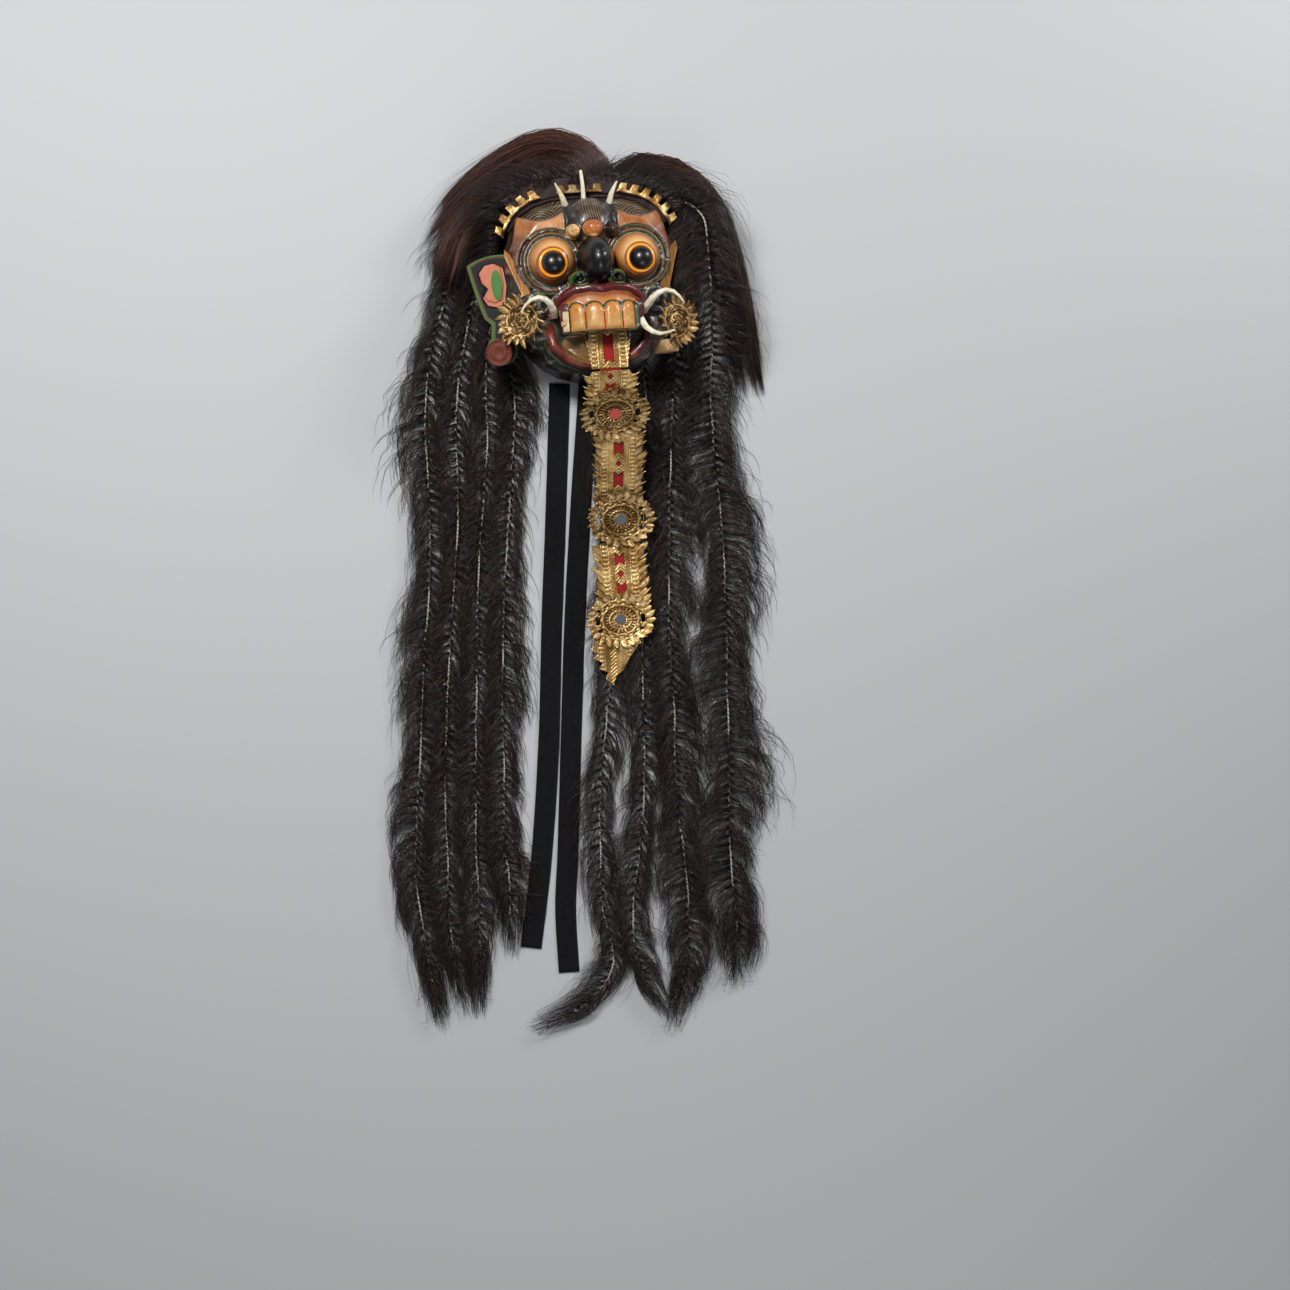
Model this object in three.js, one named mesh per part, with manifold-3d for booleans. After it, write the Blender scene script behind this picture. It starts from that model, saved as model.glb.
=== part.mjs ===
// A carved and painted wooden demon mask with bulging eyes, four big teeth, tusks,
// a long gilt leather tongue and a mane of long hair locks, lying face up.
// Millimetres, +Z up. The mask's flat back rim lies on z = 0 and the origin is the
// middle of that rim at the chin. +Y runs from the chin to the forehead.
import * as THREE from "three";
import { mergeVertices } from "three/addons/utils/BufferGeometryUtils.js";
import Module from "manifold-3d";

const wasm = await Module();
wasm.setup();

// Driving sizes of the carved head
const HALF_WIDTH = 118;
const WIDEST_Y = 133;
const TOP_RISE = 115;
const CHIN_DROP = 140;
const HEAD_DEPTH = 124;
const WALL = 14;
const TOP_SQUARENESS = 3.2;
const CHIN_SQUARENESS = 2.1;
const HEAD_SIDES = 32;
const GAP = 0.35;
const RAISE = 4.5;

// Driving sizes of the face. Depths along z count from the front of the plain head
const EYE = { x: 60, y: 156, radius: 34, z: HEAD_DEPTH - 2 };
const IRIS = { x: 62, y: 151, radius: 21, top: HEAD_DEPTH + 27.5 };
const PUPIL = { radius: 16, rise: 14 };
const LID = { radius: 38.5, tube: 4 };
const NOSE = { y: 153, half: 25, length: 34, top: HEAD_DEPTH + 62 };
const NOSTRIL = { x: 26, y: 127, half: 15, top: HEAD_DEPTH + 39, hole: 8, depth: 11 };
const BOSS = { x: 28, y: 195, radius: 10 };
const TEETH = { bottom: 51, top: 91, front: HEAD_DEPTH + 58, curve: 140, edges: [-47, -26, 0, 26, 47] };
const JAW = { z: HEAD_DEPTH - 44, rise: 46 };

// Driving sizes of what the head carries
const BAND = { thick: 9, low: 1.5, high: 79 };
const CROWN = { reach: 30, thick: 3.5 };
const EAR = { thick: 7, outerZ: HEAD_DEPTH - 66, innerZ: HEAD_DEPTH - 48 };
const PLUG = { radius: 18.5, length: 62, lobe: 22, z: HEAD_DEPTH - 54 };
const TUSK = { root: 6.4, tip: 1.2 };
const SPIKE = { x: 103, y: 126, z: HEAD_DEPTH - 9, thick: 6, turn: 20, back: 14 };
const CHEEK = { left: [-109, 76], right: [108, 62], radius: 24, flame: 12, points: 14, z: HEAD_DEPTH + 8 };
const BROW_HORNS = {
  left: { thick: 5, tip: 1.4, route: [[-31, 234, -20], [-37, 248, -10], [-46, 266, -5]] },
  middle: { thick: 3.6, tip: 2.4, route: [[-4, 240, -23], [-5, 262, -16], [-7, 283, -12]] },
  right: { thick: 5, tip: 1.4, route: [[31, 234, -20], [34, 248, -10], [42, 264, -3]] },
};

// Driving sizes of the tongue, in the order of its layers from below
const TONGUE = {
  floorZ: 23, mouthZ: HEAD_DEPTH + 8, mouthY: 62, chinY: 0, footY: -190, bendY: -385, tipY: -441, tipZ: 18.5,
};
const BEND = { above: -158, below: -262, clear: 4.3 };
const CLOTH = 1.2;
const LEATHER = 1.6;
const ROSETTE = { radius: 42, flame: 9, squash: 0.8, thick: 2.2, points: 20 };
const PUNCHED = [[33, 0, 6, 11], [30, 14, 6, 4], [30, -14, 6, 4]];
const WINDOW = { half: 7, notch: 6, gem: 5 };
const PANELS = [
  { x: 9, half: 26, top: 60, bottom: 1, flames: 1, leaf: 8, windows: [[30, 22]], gems: [] },
  { x: 10, half: 27, top: -1, bottom: -52, flames: 3, leaf: 15, windows: [[-26, 7]], gems: [-10] },
  {
    x: 23, half: 28, top: -92, bottom: -205, flames: 7, leaf: 12,
    windows: [[-122, 12], [-172, 14]], gems: [-146],
  },
  {
    x: 20, half: 29, top: -238, bottom: -338, flames: 6, leaf: 13,
    windows: [[-263, 10], [-305, 10]], gems: [-284],
  },
];
const MIRROR = { radius: 8, thick: 1.6 };

// Driving sizes of the hair and the ties
const LOCK = { height: 16, tuft: 120, flare: 1.19 };
const TIE = { half: 15, thick: 2 };

const material = (color, roughness, metalness = 0) =>
  new THREE.MeshStandardMaterial({ color, roughness, metalness });
const PAINT = {
  wood: material(0x1d1b1a, 0.45),
  bareWood: material(0xb98d55, 0.7),
  copper: material(0xb8743a, 0.5),
  ivory: material(0xd9cfb4, 0.4),
  gilt: material(0xb98a3c, 0.38, 0.7),
  maroon: material(0x3a1f24, 0.7),
  red: material(0x8c1015, 0.8),
  mirror: material(0xd7dade, 0.1, 0.9),
  hair: material(0x1f1512, 0.75),
  ear: material(0x39492c, 0.5),
  plug: material(0x7e3a26, 0.55),
  tie: material(0x0a0a0b, 0.9),
};

const root = new THREE.Group();
const radians = THREE.MathUtils.degToRad;
const at = (x, y, z) => new THREE.Matrix4().makeTranslation(x, y, z);

function add(name, solid, paint) {
  const mesh = new THREE.Mesh(solid.isBufferGeometry ? solid : geometryOf(solid), paint);
  mesh.name = name;
  root.add(mesh);
}

// A closed three.js geometry as a manifold solid, moved by a matrix
function solidOf(geometry, matrix = new THREE.Matrix4()) {
  const bare = geometry.clone();
  bare.deleteAttribute("normal");
  bare.deleteAttribute("uv");
  const merged = mergeVertices(bare.applyMatrix4(matrix), 1e-3);
  const triVerts = new Uint32Array(merged.index.array);
  const vertProperties = merged.attributes.position.array;
  return new wasm.Manifold(new wasm.Mesh({ numProp: 3, vertProperties, triVerts }));
}

function geometryOf(solid) {
  const mesh = solid.getMesh();
  const geometry = new THREE.BufferGeometry();
  geometry.setAttribute("position", new THREE.BufferAttribute(mesh.vertProperties, 3));
  geometry.setIndex(new THREE.BufferAttribute(mesh.triVerts, 1));
  geometry.computeVertexNormals();
  return geometry;
}

const union = (solids) => solids.reduce((a, b) => a.add(b));

// What is left of a solid outside others, without the crumbs a cut leaves behind
function trimmed(solid, ...others) {
  const rest = others.reduce((a, b) => a.subtract(b), solid).decompose();
  return rest.sort((a, b) => b.volume() - a.volume())[0];
}

function ellipsoid(x, y, z, rx, ry, rz, around = 12, along = 6) {
  const ball = new THREE.SphereGeometry(1, around, along).rotateX(Math.PI / 2);
  return solidOf(ball.scale(rx, ry, rz), at(x, y, z));
}

// A route whose depths count from the front of the plain head
const onFace = (route) => route.map(([x, y, z]) => [x, y, HEAD_DEPTH + z]);

const box = (x0, x1, y0, y1, z0, z1) =>
  solidOf(
    new THREE.BoxGeometry(x1 - x0, y1 - y0, z1 - z0),
    at((x0 + x1) / 2, (y0 + y1) / 2, (z0 + z1) / 2),
  );

const shapeOf = (points) => new THREE.Shape(points.map(([x, y]) => new THREE.Vector2(x, y)));

// A flat outline given thickness along +Z, with a small bevel where one is asked for
function slab(shape, depth, bevel = 0, curveSegments = 8) {
  return new THREE.ExtrudeGeometry(shape, {
    depth: depth - 2 * bevel,
    bevelEnabled: bevel > 0,
    bevelThickness: bevel,
    bevelSize: bevel,
    bevelOffset: -bevel,
    bevelSegments: 1,
    curveSegments,
  }).translate(0, 0, bevel);
}

// A closed skin over rings that all have the same number of points
function loft(rings) {
  const count = rings[0].length;
  const points = rings.flat();
  const index = [];
  for (let r = 0; r + 1 < rings.length; r++)
    for (let i = 0; i < count; i++) {
      const a = r * count + i;
      const b = r * count + ((i + 1) % count);
      index.push(a, b, b + count, a, b + count, a + count);
    }
  for (const [ring, first] of [[rings[0], 0], [rings.at(-1), points.length - count]]) {
    const middle = new THREE.Vector3();
    ring.forEach((p) => middle.addScaledVector(p, 1 / count));
    points.push(middle);
    for (let i = 0; i < count; i++) {
      const edge = [first + i, first + ((i + 1) % count)];
      index.push(points.length - 1, ...(first === 0 ? edge.reverse() : edge));
    }
  }
  const geometry = new THREE.BufferGeometry().setFromPoints(points);
  geometry.setIndex(index);
  return geometry;
}

// A tapered round bar along a curve, thickest at its start
function horn(points, rootRadius, tipRadius, steps = 8, sides = 6) {
  const curve = new THREE.CatmullRomCurve3(points.map((p) => new THREE.Vector3(...p)));
  const frames = curve.computeFrenetFrames(steps, false);
  const rings = [];
  for (let i = 0; i <= steps; i++) {
    const radius = THREE.MathUtils.lerp(rootRadius, tipRadius, (i / steps) ** 1.5);
    const centre = curve.getPointAt(i / steps);
    rings.push(ringAround(centre, frames.normals[i], frames.binormals[i], radius, sides));
  }
  return solidOf(loft(rings));
}

function ringAround(centre, across, up, radius, sides) {
  const ring = [];
  for (let i = 0; i < sides; i++) {
    const turn = (i / sides) * 2 * Math.PI;
    const point = centre.clone().addScaledVector(across, radius * Math.cos(turn));
    ring.push(point.addScaledVector(up, radius * Math.sin(turn)));
  }
  return ring;
}

// The head's outline, squarer at the brow than at the chin, moved out by grow
function outlinePoint(turn, grow, z) {
  const [c, s] = [Math.cos(turn), Math.sin(turn)];
  const power = s > 0 ? TOP_SQUARENESS : CHIN_SQUARENESS;
  const reach = (Math.abs(c) ** power + Math.abs(s) ** power) ** (-1 / power);
  const rise = (s > 0 ? TOP_RISE : CHIN_DROP) + grow;
  return new THREE.Vector3((HALF_WIDTH + grow) * reach * c, WIDEST_Y + rise * reach * s, z);
}

function outlineRing(grow, share, z) {
  const ring = [];
  for (let i = 0; i < HEAD_SIDES; i++) {
    const p = outlinePoint((i / HEAD_SIDES) * 2 * Math.PI, grow, z);
    ring.push(new THREE.Vector3(p.x * share, WIDEST_Y + (p.y - WIDEST_Y) * share, z));
  }
  return ring;
}

// The head's plain dome from z = low up, grown outwards by grow
function dome(grow, low) {
  const profile = [[0.56, 1], [0.76, 0.975], [0.88, 0.91], [0.955, 0.79], [0.99, 0.6], [1, 0.3]];
  const rings = [outlineRing(grow, 1, low)];
  for (const [height, share] of profile) rings.push(outlineRing(grow, share, height * (HEAD_DEPTH + grow)));
  return solidOf(loft(rings));
}

const torus = (x, y, z, radius, tube, from, sweep) => {
  const path = [];
  const steps = Math.max(6, Math.round(sweep / 22));
  for (let i = 0; i <= steps; i++) {
    const turn = radians(from + (sweep * i) / steps);
    path.push([x + radius * Math.cos(turn), y + radius * Math.sin(turn), z]);
  }
  return horn(path, tube, tube, steps, 4);
};

// Raised copper brow plate with two pointed upper corners, cut round the eye
function browPlate(side) {
  const outline = new THREE.Shape();
  outline.moveTo(side * 36, 192);
  outline.lineTo(side * 38, 226);
  outline.quadraticCurveTo(side * 72, 204, side * 101, 227);
  outline.quadraticCurveTo(side * 108, 190, side * 125, 150);
  outline.lineTo(side * 100, 132);
  outline.lineTo(side * 60, 156);
  outline.closePath();
  const low = HEAD_DEPTH - 44;
  const prism = solidOf(slab(outline, HEAD_DEPTH), at(0, 0, low));
  const eyeHole = solidOf(
    new THREE.CylinderGeometry(EYE.radius + 11, EYE.radius + 11, 2 * HEAD_DEPTH, 20).rotateX(Math.PI / 2),
    at(side * EYE.x, EYE.y, low),
  );
  return dome(RAISE, low - 20).intersect(prism).subtract(eyeHole);
}

// Ball, iris step, domed pupil, lid ring and the bag below
function eye(side) {
  const iris = new THREE.CylinderGeometry(IRIS.radius, IRIS.radius + 2, IRIS.top - EYE.z, 16);
  return union([
    ellipsoid(side * EYE.x, EYE.y, EYE.z, EYE.radius, EYE.radius, EYE.radius, 16, 8),
    solidOf(iris.rotateX(Math.PI / 2), at(side * IRIS.x, IRIS.y, (IRIS.top + EYE.z) / 2)),
    ellipsoid(side * IRIS.x, IRIS.y, IRIS.top, PUPIL.radius, PUPIL.radius, PUPIL.rise, 12, 4),
    torus(side * EYE.x, EYE.y, HEAD_DEPTH, LID.radius, LID.tube, -20, 220),
    torus(side * EYE.x, EYE.y, HEAD_DEPTH - 3, LID.radius + 6, LID.tube + 2.5, side > 0 ? 205 : 185, 150),
  ]);
}

function nose() {
  const wings = [-1, 1].map((side) =>
    ellipsoid(side * NOSTRIL.x, NOSTRIL.y, NOSTRIL.top - 22, NOSTRIL.half, NOSTRIL.half * 0.85, 22, 12, 6),
  );
  const bulb = ellipsoid(0, NOSE.y, NOSE.top - 50, NOSE.half, NOSE.length, 50, 14, 10);
  return union([bulb, ...wings]);
}

function nostrilHoles() {
  const [wide, tall] = [NOSTRIL.hole, NOSTRIL.hole * 0.72];
  return [-1, 1].map((side) =>
    ellipsoid(side * (NOSTRIL.x + 1), NOSTRIL.y - 1, NOSTRIL.top + 1, wide, tall, NOSTRIL.depth, 10, 6),
  );
}

// One tooth with an arched top, turned to follow the curve of the gum
function tooth(left, right) {
  const middle = (left + right) / 2;
  const half = (right - left) / 2 - 0.6;
  const arch = new THREE.Shape();
  arch.moveTo(-half, TEETH.bottom);
  arch.lineTo(half, TEETH.bottom);
  arch.lineTo(half, TEETH.top - half);
  arch.absellipse(0, TEETH.top - half, half, half, 0, Math.PI, false, 0);
  arch.closePath();
  const front = TEETH.front - (middle * middle) / TEETH.curve;
  const turn = Math.atan((2 * middle) / TEETH.curve);
  const place = at(middle, 0, front - 34).multiply(new THREE.Matrix4().makeRotationY(turn));
  return solidOf(slab(arch, 34, 2.5, 4), place);
}

function mouth() {
  const gum = new THREE.CylinderGeometry(74, 74, 52, 24);
  const gumSpan = box(-54, 54, TEETH.bottom + 1, 104, HEAD_DEPTH - 14, HEAD_DEPTH + 66);
  const gumBlock = solidOf(gum, at(0, 78, HEAD_DEPTH - 26)).intersect(gumSpan);
  const lipPath = onFace([
    [-66, 84, 14], [-55, 100, 27], [-38, 110, 38], [-16, 112, 44], [0, 109, 46],
    [16, 112, 44], [38, 110, 38], [55, 100, 27], [66, 84, 14],
  ]);
  const lowerLip = onFace([
    [-70, 62, -6], [-68, 42, -2], [-50, 22, -3], [-24, 10, -6], [0, 7, -7],
    [24, 10, -6], [50, 22, -3], [68, 42, -2], [70, 62, -6],
  ]);
  const teeth = TEETH.edges.slice(1).map((edge, i) => tooth(TEETH.edges[i], edge));
  return union([gumBlock, horn(lipPath, 7.5, 7.5, 10, 6), horn(lowerLip, 7.5, 7.5, 8, 6), ...teeth]);
}

// Muzzle, cheeks, jaw corners, chin and the gilt root of the tongue
function jaw() {
  const sides = [-1, 1].flatMap((side) => [
    ellipsoid(side * 84, 104, HEAD_DEPTH - 32, 32, 28, 36),
    ellipsoid(side * 80, 64, HEAD_DEPTH - 36, 28, 34, 42),
  ]);
  return union([
    ellipsoid(0, 86, HEAD_DEPTH - 32, 76, 44, 68, 18, 8),
    ellipsoid(0, 30, JAW.z, 84, 36, JAW.rise, 16, 8),
    ellipsoid(-4, 38, HEAD_DEPTH - 16, 46, 26, 21),
    ...sides,
  ]);
}

// Forehead bulge, its copper dome, the dark boss and the broken stump
function forehead() {
  const stump = new THREE.CylinderGeometry(8.5, BOSS.radius, 34, 9).rotateX(Math.PI / 2);
  return union([
    ellipsoid(0, 205, HEAD_DEPTH - 22, 40, 41, 38, 14, 8),
    ellipsoid(0, 198, HEAD_DEPTH + 12, 15, 12, 16, 12, 6),
    ellipsoid(BOSS.x, BOSS.y, HEAD_DEPTH + 6, BOSS.radius, BOSS.radius, 20, 10, 8),
    solidOf(stump, at(-BOSS.x, BOSS.y, HEAD_DEPTH + 9)),
  ]);
}

// Pieces pegged into the head. Each takes a clearance, so that its socket is the same shape
const pegged = {
  brow_horn_left: [PAINT.ivory, (c) => browHorn(BROW_HORNS.left, c)],
  brow_horn_middle: [PAINT.ivory, (c) => browHorn(BROW_HORNS.middle, c)],
  brow_horn_right: [PAINT.ivory, (c) => browHorn(BROW_HORNS.right, c)],
  tusk_upper_left: [PAINT.ivory, (c) => upperTusk(-1, c)],
  tusk_upper_right: [PAINT.ivory, (c) => upperTusk(1, c)],
  tusk_lower_right: [PAINT.ivory, (c) => lowerTusk(c)],
  tusk_stump_left: [PAINT.bareWood, (c) => tuskStump(c)],
  temple_spike_left: [PAINT.copper, (c) => spike(-1, c)],
  temple_spike_right: [PAINT.copper, (c) => spike(1, c)],
  ear_left: [PAINT.ear, (c) => ear(-1, c)],
  ear_right: [PAINT.ear, (c) => ear(1, c)],
  cheek_rosette_left: [PAINT.gilt, (c) => cheekRosette(-1, c)],
  cheek_rosette_right: [PAINT.gilt, (c) => cheekRosette(1, c)],
  jaw_peg_right: [PAINT.bareWood, (c) => jawPeg(c)],
};

const browHorn = ({ route, thick, tip }, c) => horn(onFace(route), thick + c, tip + c, 6);

function upperTusk(side, c) {
  const route = [[63, 80, 8], [68, 87, 28], [76, 97, 42], [90, 102, 48], [104, 97, 48], [115, 83, 44]];
  const mirrored = onFace(route).map(([x, y, z]) => [side * x, y, z]);
  return horn(mirrored, TUSK.root + c, TUSK.tip + c);
}

function lowerTusk(c) {
  const route = onFace([[52, 84, 18], [53, 67, 36], [61, 49, 48], [78, 41, 52], [98, 46, 51]]);
  return horn(route, TUSK.root + c, TUSK.tip + c);
}

// The left lower tusk is broken off close to its root
const tuskStump = (c) => horn(onFace([[-52, 86, 18], [-54, 70, 33], [-56, 60, 42]]), 6 + c, 4 + c, 4);

// Square wooden peg at the jaw, bare since its ornament is gone
function jawPeg(c) {
  const bar = new THREE.BoxGeometry(20 + 2 * c, 17 + 2 * c, 34 + 2 * c);
  return solidOf(bar, at(97, 30, HEAD_DEPTH - 22).multiply(new THREE.Matrix4().makeRotationY(radians(24))));
}

// Flat pointed slat beside the eye that leans back and outwards
function spike(side, c) {
  const outline = shapeOf([[-7 - c, -17 - c], [7 + c, -17 - c], [5 + c, 48], [0, 58 + c], [-5 - c, 48]]);
  const place = at(side * SPIKE.x, SPIKE.y, SPIKE.z);
  place.multiply(new THREE.Matrix4().makeRotationZ(radians(-side * SPIKE.turn)));
  place.multiply(new THREE.Matrix4().makeRotationX(radians(-SPIKE.back)));
  return solidOf(slab(outline, SPIKE.thick + 2 * c), place.multiply(at(0, 0, -SPIKE.thick / 2 - c)));
}

// Flat ear with a raised curl, and a lobe that holds the plug
function earPlace(side) {
  const span = 60;
  const tilt = Math.atan((EAR.innerZ - EAR.outerZ) / span);
  return at(side * 113, 0, EAR.innerZ).multiply(new THREE.Matrix4().makeRotationY(side * tilt));
}

// The right one has lost its lobe
function ear(side, c) {
  const s = side;
  const outline = new THREE.Shape();
  outline.moveTo(s * (-3 - c), 112 - c);
  outline.lineTo(s * (-3 - c), 174 + c);
  outline.quadraticCurveTo(s * 32, 180 + c, s * (60 + c), 163 + c);
  outline.quadraticCurveTo(s * (51 + c), 118, s * (40 + c), 86);
  if (side < 0) {
    outline.lineTo(s * 31, 78);
    outline.lineTo(s * 33, 52);
    outline.lineTo(s * 4, 52);
  } else {
    outline.lineTo(s * 26, 88);
    outline.lineTo(s * 18, 97);
    outline.lineTo(s * 12, 92);
  }
  outline.lineTo(s * 6, 108);
  outline.closePath();
  const [lobeX, lobeY] = [s * 18, 42];
  const curl = shapeOf([
    [12, 112], [22, 108], [33, 112], [39, 122], [34, 132], [40, 140], [42, 152], [34, 161], [22, 163],
    [12, 156], [9, 134],
  ].map(([x, y]) => [s * x, y]));
  const lobe = new THREE.CylinderGeometry(PLUG.lobe, PLUG.lobe, EAR.thick + 2 * c, 20).rotateX(Math.PI / 2);
  const board = union([
    solidOf(slab(outline, EAR.thick + 2 * c), at(0, 0, -c)),
    solidOf(slab(curl, 4), at(0, 0, EAR.thick - 1)),
  ]);
  if (side > 0) return board.transform(earPlace(side).elements);
  const whole = board.add(solidOf(lobe, at(lobeX, lobeY, EAR.thick / 2))).transform(earPlace(side).elements);
  return c > 0 ? whole : whole.subtract(plug(GAP));
}

function plug(c) {
  const bar = new THREE.CylinderGeometry(PLUG.radius + c, PLUG.radius * 0.86 + c, PLUG.length + 2 * c, 18);
  const lean = new THREE.Matrix4().makeRotationY(radians(-14)).multiply(
    new THREE.Matrix4().makeRotationX(radians(8)),
  );
  return solidOf(bar.rotateX(Math.PI / 2), at(-133, 40, PLUG.z).multiply(lean));
}

// Points of a disc whose edge is cut into flames that lean the same way round
function flameDisc(radius, flame, points, from = 0, sweep = 360) {
  const outline = [];
  for (let i = 0; i < points; i++) {
    const turn = radians(from + (sweep * i) / points);
    const lean = radians((0.62 * sweep) / points);
    outline.push([radius * Math.cos(turn), radius * Math.sin(turn)]);
    outline.push([(radius + flame) * Math.cos(turn + lean), (radius + flame) * Math.sin(turn + lean)]);
  }
  return outline;
}

function cheekRosette(side, c) {
  const disc = shapeOf(flameDisc(CHEEK.radius, CHEEK.flame, CHEEK.points));
  const stem = new THREE.CylinderGeometry(4 + c, 4 + c, 36, 6).rotateX(Math.PI / 2);
  const boss = new THREE.SphereGeometry(9, 8, 5).scale(1, 1, 0.6);
  const lean = new THREE.Matrix4().makeRotationY(side * radians(30));
  const [x, y] = side < 0 ? CHEEK.left : CHEEK.right;
  const place = at(x, y, CHEEK.z).multiply(lean);
  return union([
    solidOf(slab(disc, 2.4 + 2 * c), place.clone().multiply(at(0, 0, -c))),
    solidOf(boss, place.clone().multiply(at(0, 0, 3))),
    solidOf(stem, place.clone().multiply(at(0, 0, -17))),
  ]);
}

// The carved head, hollow behind, with a socket for every pegged piece
function head() {
  const pairs = [-1, 1].flatMap((side) => [browPlate(side), eye(side)]);
  const carved = union([dome(0, 0), ...pairs, jaw(), forehead(), nose(), mouth()]);
  const hollow = dome(-WALL, -1).intersect(box(-200, 200, -50, 300, -1, HEAD_DEPTH - WALL));
  const mouthSlot = box(-48, 48, 34, 72, JAW.z + JAW.rise + 3, HEAD_DEPTH + 28);
  const behindRim = box(-300, 300, -100, 400, -100, 0);
  const sockets = Object.values(pegged).map(([, make]) => make(GAP));
  const cuts = [hollow, mouthSlot, behindRim, ...nostrilHoles(), ...sockets];
  return cuts.reduce((a, b) => a.subtract(b), carved);
}

// Part of a ring round the head, between two distances from it, counted in the head's own sides
function outlineArc(from, to, inner, outer, low, high) {
  const rings = [];
  for (let i = from; i <= to; i++) {
    const turn = (i / HEAD_SIDES) * 2 * Math.PI;
    rings.push([
      outlinePoint(turn, outer, low), outlinePoint(turn, outer, high),
      outlinePoint(turn, inner, high), outlinePoint(turn, inner, low),
    ]);
  }
  return solidOf(loft(rings.map((ring) => ring.reverse())));
}

const bandSolid = (c) => outlineArc(3, 13, GAP - c, BAND.thick + c, BAND.low - c, BAND.high + c);

// A strip of gilt leather along the brow whose upper edge is cut into tabs
function giltTabs(from, to, tabs, tall) {
  const low = BAND.high + CROWN.thick + 2 * GAP;
  const outline = [];
  const edge = (share, reach) => {
    const p = outlinePoint(radians(from + (to - from) * share), reach, 0);
    return [p.x, p.y];
  };
  for (let i = 0; i <= tabs; i++) outline.push(edge(i / tabs, RAISE + 2.5));
  for (let i = tabs; i > 0; i--) {
    outline.push(edge((i - 0.12) / tabs, 11), edge((i - 0.2) / tabs, tall));
    outline.push(edge((i - 0.72) / tabs, tall), edge((i - 0.8) / tabs, 11));
  }
  return solidOf(slab(shapeOf(from < to ? outline : outline.reverse()), 6), at(0, 0, low));
}

// The tongue is laid out on flat stretches. Each has a start, a slope and its own plane
function tonguePlane(y, z, towardsY, towardsZ) {
  const slope = Math.atan2(z - towardsZ, y - towardsY);
  return at(0, y, z).multiply(new THREE.Matrix4().makeRotationX(slope));
}

const CHIN_PLANE = tonguePlane(TONGUE.chinY, TONGUE.mouthZ, TONGUE.footY, TONGUE.floorZ);
const FLOOR_PLANE = at(0, 0, TONGUE.floorZ);
const TIP_PLANE = tonguePlane(TONGUE.bendY, TONGUE.floorZ, TONGUE.tipY, TONGUE.tipZ);
const PANEL_LIFT = CLOTH + GAP;
const ROSETTE_LIFT = PANEL_LIFT + LEATHER + GAP;

function tongueCloth() {
  const route = [
    [8, TONGUE.mouthY, TONGUE.mouthZ], [10, TONGUE.chinY, TONGUE.mouthZ], [24, TONGUE.footY, TONGUE.floorZ],
    [13, TONGUE.bendY + 17, TONGUE.floorZ],
  ];
  const half = 15;
  return solidOf(loft(route.map(([x, y, z]) => [
    new THREE.Vector3(x - half, y, z), new THREE.Vector3(x + half, y, z),
    new THREE.Vector3(x + half, y, z + CLOTH), new THREE.Vector3(x - half, y, z + CLOTH),
  ])));
}

// Leather panel with flames down both edges and windows over the red cloth
function tonguePanel({ x, half, top, bottom, flames, leaf, windows, gems }) {
  const outline = [];
  const pitch = (top - bottom) / flames;
  const edge = (side) => {
    const row = [];
    for (let i = 0; i < flames; i++) {
      const y = bottom + i * pitch;
      row.push([x + side * half, y], [x + side * (half + leaf), y + pitch * 0.95]);
      row.push([x + side * (half + 3), y + pitch * 0.62]);
    }
    return row;
  };
  outline.push(...edge(1), [x + half, top], [x - half, top], ...edge(-1).reverse());
  const shape = shapeOf(outline);
  const { half: w, notch, gem } = WINDOW;
  for (const [y, tall] of windows) {
    const upper = [[-w, tall], [0, tall - notch], [w, tall]];
    pierce(shape, x, y, [...upper, [w, -tall], [0, notch - tall], [-w, -tall]]);
  }
  for (const y of gems) pierce(shape, x, y, [[-gem, 0], [0, gem], [gem, 0], [0, -gem]]);
  return slab(shape, LEATHER);
}

// A hole through a flat shape, around the point x, y
function pierce(shape, x, y, corners) {
  const hole = new THREE.Path();
  hole.setFromPoints(corners.map(([px, py]) => new THREE.Vector2(x + px, y + py)));
  hole.closePath();
  shape.holes.push(hole);
}

// Wide flame-edged disc with three holes punched on each side
function rosette(x, y) {
  const outline = flameDisc(ROSETTE.radius, ROSETTE.flame, ROSETTE.points);
  const flames = outline.map(([px, py]) => [px + x, ROSETTE.squash * py + y]);
  const disc = solidOf(slab(shapeOf(flames), ROSETTE.thick));
  const holes = [-1, 1].flatMap((side) =>
    PUNCHED.map(([px, py, wide, tall]) => {
      const [left, low] = [x + side * px - wide / 2, y + py - tall / 2];
      return box(left, left + wide, low, low + tall, -1, ROSETTE.thick + 1);
    }),
  );
  return disc.subtract(union(holes));
}

function mirror(x, y) {
  return new THREE.CylinderGeometry(MIRROR.radius, MIRROR.radius, MIRROR.thick, 12)
    .rotateX(Math.PI / 2)
    .translate(x, y, MIRROR.thick / 2);
}

// Pointed leaf at the tip, torn off along its right side
function tongueTip() {
  const outline = [
    [8, 14], [-34, 12], [-31, 2], [-40, -2], [-28, -10], [-35, -16], [-22, -24], [-28, -32], [-15, -38],
    [-19, -47], [-8, -58], [-3, -44], [8, -36], [17, -20], [30, -4], [33, 8],
  ];
  return slab(shapeOf(outline.map(([x, y]) => [x + 6, y]).reverse()), LEATHER);
}

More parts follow.
